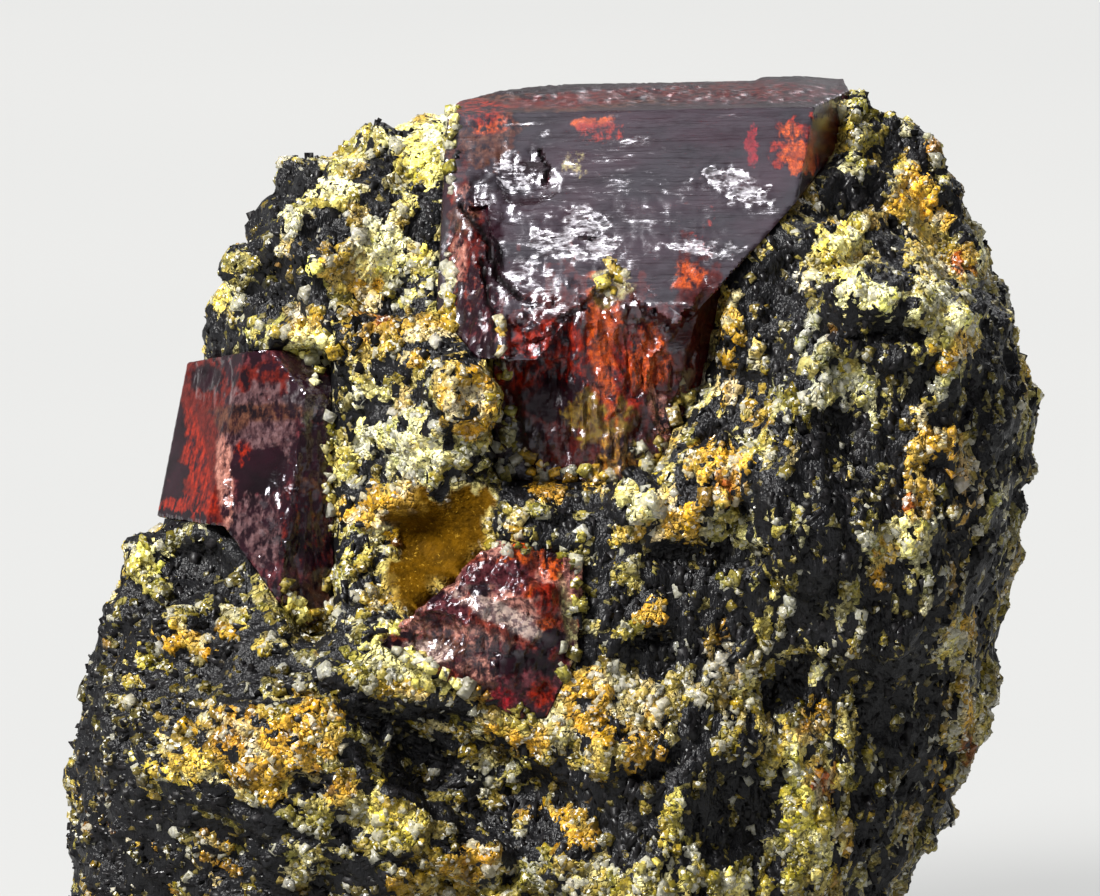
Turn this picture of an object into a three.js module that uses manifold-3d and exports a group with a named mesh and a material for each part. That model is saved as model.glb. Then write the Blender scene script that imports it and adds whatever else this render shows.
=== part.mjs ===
// Zircon in matrix: a free-standing mineral specimen, in millimetres, +Z up.
// A lump of banded gneiss holds three dark red zircon crystals: a large one across the top of its display
// face, a prism on its left edge, and a broken one below the middle, beside a smooth ochre hollow.
// The rock stands on a flat cut, and the origin is the middle of the bounding box on that cut.
//
// Everything is laid out in the display face's own frame: u to the right, v up the face, w out of it towards
// the viewer. The face leans back by LEAN from the vertical.
import * as THREE from "three";
import { ConvexGeometry } from "three/addons/geometries/ConvexGeometry.js";
import { ImprovedNoise } from "three/addons/math/ImprovedNoise.js";
import { mergeVertices } from "three/addons/utils/BufferGeometryUtils.js";
import Module from "manifold-3d";

// Driving dimensions
const LEAN = THREE.MathUtils.degToRad(12); // how far the display face leans back
const BASE_BELOW = 25.5; // from the face frame's origin down to the flat cut
const FRONT_DEPTH = 11.5; // how far the rock bulges out of the u-v plane
const BACK_DEPTH = 17.5; // how far it goes back behind that plane
const FRONT_ROUNDING = 2.4; // 2 is an ellipse, more is boxier
const BACK_ROUNDING = 3.2;
const ROCK_HEART = new THREE.Vector3(0.5, -2, 1); // the point that the rock's surface is seen from all round
const ROCK_DETAIL = 20; // the rock's sphere has 20 * (ROCK_DETAIL + 1)^2 triangles
const LUMP_ROOM = 0.8; // how far the smooth rock stays inside its outline, for the lumps on it
const GAP = 0.3; // between each crystal and its socket
const OPEN_REACH = 20; // how far a socket is cut open out of the display face
const BIG = 80; // half the side of a block that is larger than the specimen
const CHIP_DETAIL = 2; // how finely the ball that cuts a chip is faceted
const SAME = 1e-4; // points closer than this are one point

// The rock's outline seen straight onto the display face, clockwise from the top left.
const ROCK_OUTLINE = [
  [-4.6, 22.9], [-8.2, 21.9], [-10.3, 20.9], [-12.2, 19.8], [-13.5, 18.3], [-15.0, 16.8],
  [-16.4, 12.7], [-17.6, 10.4], [-17.0, 8.0], [-17.6, 4.0], [-19.9, 1.8], [-21.5, 0.4],
  [-22.1, -2.2], [-22.9, -5.2], [-24.0, -8.6], [-25.0, -12.0], [-24.5, -16.0], [-22.8, -20.5],
  [-20.5, -25.0], [-13.5, -29.5], [-1.0, -31.0], [8.0, -29.5], [13.6, -24.0], [17.8, -16.8],
  [19.8, -13.0], [20.9, -9.2], [21.9, -5.4], [22.9, -1.6], [24.1, 2.4], [25.2, 6.4],
  [24.3, 10.5], [22.4, 14.4], [21.6, 17.0], [20.0, 20.0], [18.5, 22.4], [15.7, 23.8],
  [12.0, 21.9], [4.0, 21.5],
].map(([u, v]) => new THREE.Vector2(u, v));

// What stands out of the display face or is sunk into it: an ellipse turned anticlockwise by turn degrees,
// with a rise in mm that is full inside and fades over the outer share `soft` of the ellipse.
const RELIEF = [
  { name: "right block", at: [16.5, 4.6], size: [7.4, 10.9], turn: -8, rise: 3.0, soft: 0.28 },
  { name: "right block's crest", at: [16.3, 12.0], size: [5.6, 2.8], turn: -12, rise: 1.5, soft: 0.5 },
  { name: "step behind the crest", at: [16.5, 18.4], size: [6.5, 4.4], turn: -20, rise: -1.8, soft: 0.5 },
  { name: "ochre hollow", at: [-5.9, 0.6], size: [4.8, 2.9], turn: 42, rise: -2.6, soft: 0.8 },
  { name: "lower left swell", at: [-13.5, -9.5], size: [9.0, 5.2], turn: 8, rise: 2.0, soft: 0.5 },
  { name: "mica shelf", at: [-16.0, -0.6], size: [5.4, 2.8], turn: -10, rise: -2.0, soft: 0.6 },
  { name: "mica groove", at: [-4.0, -10.2], size: [9.0, 2.9], turn: -24, rise: -1.7, soft: 0.8 },
  { name: "left of the large crystal", at: [-7.4, 14.5], size: [3.6, 6.5], turn: 4, rise: -1.3, soft: 0.8 },
  { name: "right of the left crystal", at: [-9.6, 4.5], size: [4.2, 7.5], turn: 4, rise: -2.4, soft: 0.8 },
  { name: "round the broken tail", at: [3.2, 7.4], size: [8.5, 6.0], turn: 0, rise: -1.9, soft: 0.7 },
  { name: "lump beside its tail", at: [-4.2, 8.2], size: [2.3, 2.3], turn: 0, rise: 1.6, soft: 0.8 },
  { name: "ochre lump", at: [7.6, 3.9], size: [3.8, 2.6], turn: 15, rise: 1.5, soft: 0.7 },
  { name: "pale lump", at: [4.3, 2.8], size: [1.8, 1.8], turn: 0, rise: 1.2, soft: 0.8 },
  { name: "low swell", at: [5.5, -9.5], size: [7.5, 3.2], turn: 10, rise: 1.4, soft: 0.6 },
  { name: "lower middle lump", at: [4.5, -15.5], size: [4.0, 3.0], turn: 0, rise: 1.3, soft: 0.7 },
  { name: "lower left lump", at: [-7.5, -14.0], size: [3.5, 2.6], turn: 20, rise: 1.2, soft: 0.7 },
  { name: "left shoulder", at: [-10.8, 17.5], size: [4.2, 4.6], turn: -30, rise: 1.4, soft: 0.5 },
];

// The skin counts as front, and as back, beyond these depths: it turns over between the two.
const FRONT_FROM = [1, 6];
const BACK_FROM = [-12, -6];

// Roughness of the rock: [wavelength, height] of lumps in mm, from broad to fine.
const LUMPS = [[9.5, 1.3], [4.6, 1.2], [2.6, 0.8]];
const FLAT_LUMPS = 0.6; // share of their height on the front and back, against the sides
// Ridges where the rock's bands come out on its sides and back: they lie parallel to the display face.
const BAND_PITCH = 1.9;
const BAND_LENGTH = 11;
const BAND_HEIGHT = 1.0;
const FRONT_BANDS = 0.4; // share of their height on the front
// The rock splits along those bands into ledges: level treads a step apart, with sloping risers between.
const LEDGE_STEP = 2.4;
const LEDGE_RISER = 0.45; // share of each step that is riser
const LEDGE_SHARE = 0.55; // how far the front is drawn to its ledges
const BACK_WANDER = [12, 4.6]; // [wavelength, height] that the back's ledges wander by

const ZIRCON = { color: 0x4a2526, roughness: 0.12, metalness: 0 };
const GNEISS = { color: 0x76684a, roughness: 0.8, metalness: 0 };

const wasm = await Module();
wasm.setup();
const noise = new ImprovedNoise();

function solidFrom(geometry) {
  const bare = new THREE.BufferGeometry().setAttribute("position", geometry.getAttribute("position"));
  if (geometry.index) {
    bare.setIndex(geometry.index);
  }
  const merged = mergeVertices(bare, SAME);
  return new wasm.Manifold(
    new wasm.Mesh({
      numProp: 3,
      vertProperties: merged.attributes.position.array,
      triVerts: new Uint32Array(merged.index.array),
    }),
  );
}

function geometryFrom(solid) {
  const mesh = solid.getMesh();
  return new THREE.BufferGeometry()
    .setAttribute("position", new THREE.BufferAttribute(new Float32Array(mesh.vertProperties), 3))
    .setIndex(new THREE.BufferAttribute(new Uint32Array(mesh.triVerts), 1));
}

// A flat face of a convex body, by a point on it and the way it faces.
function face(point, facing) {
  return new THREE.Plane().setFromNormalAndCoplanarPoint(
    new THREE.Vector3(...facing).normalize(),
    new THREE.Vector3(...point),
  );
}

// The corners of the convex body inside all of these faces, each moved out by grow.
function cornersInside(faces, grow = 0) {
  const planes = faces.map((p) => new THREE.Plane(p.normal, p.constant - grow));
  const corners = [];
  for (let i = 0; i < planes.length; i++) {
    for (let j = i + 1; j < planes.length; j++) {
      for (let k = j + 1; k < planes.length; k++) {
        const [a, b, c] = [planes[i], planes[j], planes[k]];
        const bc = new THREE.Vector3().crossVectors(b.normal, c.normal);
        const det = a.normal.dot(bc);
        if (Math.abs(det) < SAME) {
          continue; // two of the three are parallel
        }
        const ca = new THREE.Vector3().crossVectors(c.normal, a.normal);
        const ab = new THREE.Vector3().crossVectors(a.normal, b.normal);
        const corner = bc
          .multiplyScalar(-a.constant)
          .addScaledVector(ca, -b.constant)
          .addScaledVector(ab, -c.constant)
          .divideScalar(det);
        if (planes.every((p) => p.distanceToPoint(corner) < SAME)) {
          corners.push(corner);
        }
      }
    }
  }
  return corners;
}

function convexBody(faces) {
  return solidFrom(new ConvexGeometry(cornersInside(faces)));
}

// The space that a convex body needs in the rock: the body and a gap, cut open out of the display face.
function socketFor(faces) {
  const corners = cornersInside(faces, GAP);
  const lifted = corners.map((c) => c.clone().add(new THREE.Vector3(0, 0, OPEN_REACH)));
  return solidFrom(new ConvexGeometry([...corners, ...lifted]));
}

// The upper body of the large crystal: a short square prism with a striated face towards the viewer.
// Faces that the rock hides turn a little inwards with depth, so that no socket is wider than its crystal.
const LARGE_HEAD = [
  face([5, 22.25, 6.5], [-0.026, 1, 0.2]), // narrow top
  face([5, 22.25, 6.5], [-0.04, 0.45, 0.9]), // striated front
  face([-2.5, 11, 11.8], [-0.62, 0.2, 0.75]), // left flank
  face([-5.1, 18, 6], [-1, 0.02, -0.12]), // left end
  face([-4.25, 11, 8], [-0.74, -0.67, -0.05]), // lower left
  face([13.5, 20, 5.5], [0.93, 0, 0.37]), // right end
  face([14.75, 22.6, 2], [0.97, -0.2, -0.08]), // right end, in the rock
  face([13.3, 19.2, 6], [0.73, -0.68, -0.05]), // lower right
  face([-2, 10.2, 6], [0, -1, -0.05]), // lower end
  face([-4.65, 22.8, 2.5], [-0.22, 0.1, -0.97]), // back, turned a little to the left
];
// Its lower end, broken back to a long tail that sinks into the rock.
const LARGE_TAIL = [
  face([2.6, 9, 10.9], [-0.3, -0.17, 1]), // break, left of its ridge
  face([2.6, 9, 10.9], [0.34, -0.1, 1]), // break, right of its ridge
  face([7.3, 12, 9.4], [0.84, -0.2, 0.5]), // right flank
  face([8.75, 14.25, 6], [0.97, -0.21, -0.06]), // right flank, in the rock
  face([7.5, 8.5, 6], [0.81, -0.58, -0.06]), // lower right
  face([3, 4.15, 6], [0, -1, -0.05]), // lower end
  face([-2.6, 8, 6], [-1, 0, -0.06]), // left
  face([0, 16, 5], [0, 1, 0]), // inside the head
  face([0, 8, 2], [0, 0, -1]), // back
];
// What is broken out of the head above the tail: a notch with its tip up, and chips along its edges.
const LARGE_NOTCH = [
  face([3, 14.9, 10], [-0.79, 0.62, 0.1]),
  face([3, 14.9, 10], [0.65, 0.76, 0.1]),
  face([2.6, 12, 10.3], [-0.1, -0.15, -1]),
  face([0, 4, 10], [0, -1, 0]),
  face([0, 12, 16], [0, 0, 1]),
];
const LARGE_CHIPS = [
  { at: [-5.4, 22.0, 8.8], radius: 2.6, squash: [1, 0.8, 1] },
  { at: [-1.2, 19.2, 9.6], radius: 2.2, squash: [1.2, 0.9, 1] },
  { at: [-1.6, 12.4, 14.0], radius: 2.8, squash: [1.1, 0.9, 1] },
  { at: [6.6, 12.6, 13.4], radius: 2.8, squash: [1.2, 0.8, 1] },
  { at: [0.2, 6.2, 12.9], radius: 2.7, squash: [0.9, 1.1, 1] },
  { at: [5.6, 6.6, 12.1], radius: 2.4, squash: [0.8, 1.2, 1] },
];

// The left crystal: an upright prism. Two bodies, because its red face ends higher than the rest.
const LEFT_RED = face([-18.7, 6, 1.3], [-0.86, 0.18, 0.48]);
const LEFT_MID = face([-16.4, 6, 6], [-0.42, 0.06, 0.9]);
const LEFT_SIDE = face([-18.75, 6, 0], [-0.98, 0.19, -0.1]);
const LEFT_TOP = face([-16, 10.1, 3], [-0.05, 1, -0.06]);
const LEFT_BACK = face([-14, 4, -3.5], [0, 0, -1]);
const LEFT_SLAB = [
  LEFT_RED,
  LEFT_MID,
  LEFT_SIDE,
  LEFT_TOP,
  LEFT_BACK,
  face([-18, 2.2, 0], [-0.02, -1, -0.06]),
  face([-15, 6, 0], [1, 0, 0]),
];
const LEFT_PRISM = [
  LEFT_RED,
  LEFT_MID,
  LEFT_SIDE,
  LEFT_TOP,
  LEFT_BACK,
  face([-12.4, 5, 7.9], [0.5, -0.06, 0.86]), // right of the middle edge
  face([-12.9, 9.3, 7.5], [0.4, 0.62, 0.68]), // top right
  face([-10.8, 5, 5], [1, 0.02, -0.06]), // right side
  face([-16.25, 2.25, 4], [-0.79, -0.61, -0.06]), // lower left
  face([-11, -3.4, 5], [0.1, -1, -0.06]), // lower end
];

// The broken crystal: a rough section of a crystal that runs into the rock.
const BROKEN = [
  face([-3, -2.4, 13.7], [-0.22, 0.32, 0.92]), // upper half of the break
  face([-3, -2.4, 13.7], [0.05, -0.32, 0.95]), // lower half of the break
  face([1, -2.5, 12.8], [0.55, 0.05, 0.83]), // right of the break
  face([-5.4, -1.5, 11], [-0.66, 0.75, -0.05]), // along the ochre hollow
  face([-1, 0.65, 11], [0.23, 0.97, -0.05]),
  face([1.5, -1, 11], [1, -0.08, -0.05]),
  face([0.5, -6, 11], [0.9, -0.43, -0.05]),
  face([-1, -7.5, 11], [0, -1, -0.05]),
  face([-5, -5.6, 11], [-0.47, -0.88, -0.05]),
  face([-8.1, -4, 11], [-1, 0.1, -0.05]),
  face([-3, -3, 4], [0, 0, -1]),
];
const BROKEN_CHIPS = [
  { at: [-2.0, -2.6, 16.1], radius: 2.9, squash: [1.3, 0.55, 1] },
  { at: [-6.2, -3.6, 14.0], radius: 2.2, squash: [1.1, 0.7, 1] },
  { at: [0.0, -5.4, 14.4], radius: 2.0, squash: [0.8, 1, 1] },
  { at: [-0.2, 0.2, 14.4], radius: 1.9, squash: [1, 0.8, 1] },
];

// A shell-shaped chip: a coarse ball with flat faces, squashed and set at its place.
function chip({ at, radius, squash }) {
  const ball = new THREE.IcosahedronGeometry(radius, CHIP_DETAIL);
  ball.scale(...squash);
  ball.translate(...at);
  return solidFrom(ball);
}

function withoutChips(body, chips) {
  return chips.reduce((rest, c) => rest.subtract(chip(c)), body);
}

// The distance from the rock's heart to its outline, all the way round.
function outlineReach() {
  const heart = new THREE.Vector2(ROCK_HEART.x, ROCK_HEART.y);
  const points = ROCK_OUTLINE.map((p) => new THREE.Vector3(p.x - heart.x, p.y - heart.y, 0));
  const ring = new THREE.CatmullRomCurve3(points, true, "centripetal");
  const samples = ring.getPoints(720).map((p) => ({ angle: Math.atan2(p.y, p.x), reach: p.length() }));
  samples.sort((a, b) => a.angle - b.angle);
  return (angle) => {
    let low = 0;
    let high = samples.length - 1;
    if (angle <= samples[low].angle || angle >= samples[high].angle) {
      return samples[low].reach - LUMP_ROOM;
    }
    while (high - low > 1) {
      const middle = (low + high) >> 1;
      if (samples[middle].angle <= angle) {
        low = middle;
      } else {
        high = middle;
      }
    }
    const share = (angle - samples[low].angle) / (samples[high].angle - samples[low].angle);
    return samples[low].reach * (1 - share) + samples[high].reach * share - LUMP_ROOM;
  };
}

function reliefAt(u, v) {
  let rise = 0;
  for (const r of RELIEF) {
    const turn = THREE.MathUtils.degToRad(r.turn);
    const [du, dv] = [u - r.at[0], v - r.at[1]];
    const along = (du * Math.cos(turn) + dv * Math.sin(turn)) / r.size[0];
    const across = (dv * Math.cos(turn) - du * Math.sin(turn)) / r.size[1];
    rise += r.rise * (1 - THREE.MathUtils.smoothstep(Math.hypot(along, across), 1 - r.soft, 1));
  }
  return rise;
}

// A height drawn to level treads LEDGE_STEP apart.
function ledged(height) {
  const steps = height / LEDGE_STEP;
  const tread = Math.floor(steps);
  return LEDGE_STEP * (tread + THREE.MathUtils.smoothstep(steps - tread, 1 - LEDGE_RISER, 1));
}

// The rock's skin, for a direction from its heart.
function skinPoint(way, reach) {
  const { x: u, y: v, z: w } = way;
  const inPlane = Math.hypot(u, v);
  const [depth, power] = w > 0 ? [FRONT_DEPTH, FRONT_ROUNDING] : [BACK_DEPTH, BACK_ROUNDING];
  const round = (inPlane / reach(Math.atan2(v, u))) ** power + (Math.abs(w) / depth) ** power;
  const point = way.clone().multiplyScalar(round ** (-1 / power));

  const front = THREE.MathUtils.smoothstep(point.z, ...FRONT_FROM);
  const side = 1 - w ** 2;
  let out = 0;
  for (const [wave, height] of LUMPS) {
    const share = THREE.MathUtils.lerp(FLAT_LUMPS, 1, side);
    out += height * share * noise.noise(point.x / wave + 7, point.y / wave + 3, point.z / wave);
  }
  const band = noise.noise(point.x / BAND_LENGTH, point.y / BAND_LENGTH + 5, point.z / BAND_PITCH);
  out += BAND_HEIGHT * side * THREE.MathUtils.lerp(1, FRONT_BANDS, front) * band;
  point.addScaledVector(way, out);
  point.add(ROCK_HEART);

  point.z += front * reliefAt(point.x, point.y);
  point.z += front * LEDGE_SHARE * (ledged(point.z) - point.z);
  const back = 1 - THREE.MathUtils.smoothstep(point.z, ...BACK_FROM);
  const [wave, height] = BACK_WANDER;
  point.z += back * ledged(height * noise.noise(point.x / wave + 2, point.y / wave, 0.5));
  return point;
}

function rock() {
  const reach = outlineReach();
  const sphere = new THREE.IcosahedronGeometry(1, ROCK_DETAIL);
  sphere.deleteAttribute("normal");
  sphere.deleteAttribute("uv");
  const ball = mergeVertices(sphere, SAME);
  const place = ball.getAttribute("position");
  const way = new THREE.Vector3();
  for (let i = 0; i < place.count; i++) {
    way.fromBufferAttribute(place, i).normalize();
    const p = skinPoint(way, reach);
    place.setXYZ(i, p.x, p.y, p.z);
  }
  return solidFrom(ball);
}

// Everything below the flat cut, which is level when the face leans back.
function belowBase() {
  const block = new THREE.BoxGeometry(2 * BIG, 2 * BIG, 2 * BIG);
  block.translate(0, -BIG, 0);
  block.rotateX(LEAN);
  const down = new THREE.Vector3(0, -Math.cos(LEAN), -Math.sin(LEAN));
  block.translate(...down.multiplyScalar(BASE_BELOW).toArray());
  return solidFrom(block);
}

function largeCrystal() {
  const head = convexBody(LARGE_HEAD).subtract(convexBody(LARGE_NOTCH));
  return withoutChips(head.add(convexBody(LARGE_TAIL)), LARGE_CHIPS);
}

function leftCrystal() {
  return convexBody(LEFT_PRISM).add(convexBody(LEFT_SLAB));
}

function brokenCrystal() {
  return withoutChips(convexBody(BROKEN), BROKEN_CHIPS);
}

function matrixRock() {
  const sockets = [LARGE_HEAD, LARGE_TAIL, LEFT_PRISM, LEFT_SLAB, BROKEN].map(socketFor);
  return sockets.reduce((rest, socket) => rest.subtract(socket), rock().subtract(belowBase()));
}

function piece(name, solid, look) {
  const material = new THREE.MeshStandardMaterial({ ...look, flatShading: true });
  const mesh = new THREE.Mesh(geometryFrom(solid), material);
  mesh.name = name;
  return mesh;
}

const displayFrame = new THREE.Group();
displayFrame.rotation.x = Math.PI / 2 - LEAN; // u, v, w become X, up the leaning face, and towards -Y
displayFrame.add(
  piece("matrix", matrixRock(), GNEISS),
  piece("zircon_large", largeCrystal(), ZIRCON),
  piece("zircon_left", leftCrystal(), ZIRCON),
  piece("zircon_broken", brokenCrystal(), ZIRCON),
);

const specimen = new THREE.Group();
specimen.add(displayFrame);
specimen.updateMatrixWorld(true);
const bounds = new THREE.Box3().setFromObject(specimen, true);
const middle = bounds.getCenter(new THREE.Vector3());
displayFrame.position.set(-middle.x, -middle.y, -bounds.min.z);

export default specimen;
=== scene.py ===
"""Zircon in matrix: the looks of the specimen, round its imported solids.

Three glassy dark red zircon crystals sit in a lump of banded gneiss: pale grains, black mica, ochre stains.
Lengths are in millimetres in the display face's frame (u right, v up the face, w out of it), and are turned
into the row's metres when a mesh is made. Places on the display face are given in pixels of a picture
of PICTURE pixels, taken by the scene's camera.
"""
import math

import bmesh
import bpy
import numpy as np
from mathutils import Matrix, Vector
from mathutils.bvhtree import BVHTree


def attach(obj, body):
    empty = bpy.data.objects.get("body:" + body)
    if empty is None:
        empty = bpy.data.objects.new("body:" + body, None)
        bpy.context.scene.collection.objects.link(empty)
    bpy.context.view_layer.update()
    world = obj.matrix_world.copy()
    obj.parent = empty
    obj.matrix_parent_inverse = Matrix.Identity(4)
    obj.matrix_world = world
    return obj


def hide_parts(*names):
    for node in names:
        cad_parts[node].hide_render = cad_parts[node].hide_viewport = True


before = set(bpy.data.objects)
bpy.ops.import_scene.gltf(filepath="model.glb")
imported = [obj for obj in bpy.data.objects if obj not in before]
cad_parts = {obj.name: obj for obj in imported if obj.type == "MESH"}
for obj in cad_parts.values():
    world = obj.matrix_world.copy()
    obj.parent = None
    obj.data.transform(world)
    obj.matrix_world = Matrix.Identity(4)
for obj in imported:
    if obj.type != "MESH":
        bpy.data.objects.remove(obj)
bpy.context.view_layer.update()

# ---------------------------------------------------------------- frame and camera
PICTURE = (1100, 896)
LEAN = math.radians(12)  # how far the display face leans back, and how high the camera stands
FACE_ORIGIN = np.array([0.005, -2.092, 25.5])  # the face frame's origin in the row frame, mm
MM_PER_PIXEL = 0.05  # in the plane w = 0
CENTRE_V = 5.6  # the height on the face that the picture is centred on
DISTANCE = 420.0
AXES = np.array([
    [1, 0, 0],
    [0, math.sin(LEAN), math.cos(LEAN)],
    [0, -math.cos(LEAN), math.sin(LEAN)],
])  # u, v and w as rows, in the row frame
TILT = (-0.335, 0.347, 0.876)  # the direction, in the face frame, of facets that flash in the key light
CRYSTALS = ("zircon_large", "zircon_left", "zircon_broken")
SEED = 11


def to_row(face_points):
    """Face frame millimetres to row frame metres."""
    return (np.asarray(face_points, float) @ AXES + FACE_ORIGIN) / 1000


def to_face(row_points):
    """Row frame metres to face frame millimetres."""
    return (np.asarray(row_points, float) * 1000 - FACE_ORIGIN) @ AXES.T


def pixels(face_points):
    """Where face frame points are in the picture."""
    near = DISTANCE / (DISTANCE - face_points[:, 2])
    x = PICTURE[0] / 2 + face_points[:, 0] * near / MM_PER_PIXEL
    y = PICTURE[1] / 2 - (face_points[:, 1] - CENTRE_V) * near / MM_PER_PIXEL
    return np.stack([x, y], 1)


def height_of(points):
    """Height over the flat cut that the rock stands on, mm."""
    return points[:, 1] * math.cos(LEAN) + points[:, 2] * math.sin(LEAN) + FACE_ORIGIN[2]


def front_share(points):
    """1 on the display side, 0 behind it."""
    return smoothstep(points[:, 2], -4, 3)


# ---------------------------------------------------------------- numbers
def smoothstep(x, low, high):
    t = np.clip((x - low) / (high - low), 0, 1)
    return t * t * (3 - 2 * t)


# Large odd numbers that scatter a place, and then its bits.
PLACE_MIXERS = (374761393, 668265263, 1274126177)
SEED_MIXER = 974634777
BIT_MIXERS = ((13, 1103515245), (16, 69069))


def lattice(cells, seed):
    """A number from -1 to 1 for each whole-number place."""
    c = cells.astype(np.int64)
    h = sum(c[..., axis] * mixer for axis, mixer in enumerate(PLACE_MIXERS)) + seed * SEED_MIXER
    for shift, mixer in BIT_MIXERS:
        h = (h ^ (h >> shift)) * mixer & 0xFFFFFFFF
    return ((h ^ (h >> 15)) & 0xFFFF) / 32767.5 - 1


def noise(points, wave, seed=0):
    """Smooth noise from -1 to 1. wave is one length, or one for each axis."""
    p = np.asarray(points, float) / np.asarray(wave, float)
    cell = np.floor(p)
    t = p - cell
    t = t * t * t * (t * (t * 6 - 15) + 10)
    total = np.zeros(len(p))
    for corner in range(8):
        step = np.array([corner & 1, corner >> 1 & 1, corner >> 2])
        weight = np.prod(np.where(step, t, 1 - t), 1)
        total += weight * lattice(cell + step, seed)
    return total


def fractal(points, wave, octaves, seed=0):
    """Noise with finer and weaker noise on it."""
    total = np.zeros(len(points))
    for k in range(octaves):
        total += noise(points, np.asarray(wave, float) / 2**k, seed + k) / 1.8**k
    return total


def turned(points, degrees):
    """The points, in a frame that is turned about w."""
    c, s = math.cos(math.radians(degrees)), math.sin(math.radians(degrees))
    along = points[:, 0] * c + points[:, 1] * s
    across = points[:, 1] * c - points[:, 0] * s
    return np.stack([along, across, points[:, 2]], 1)


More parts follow.
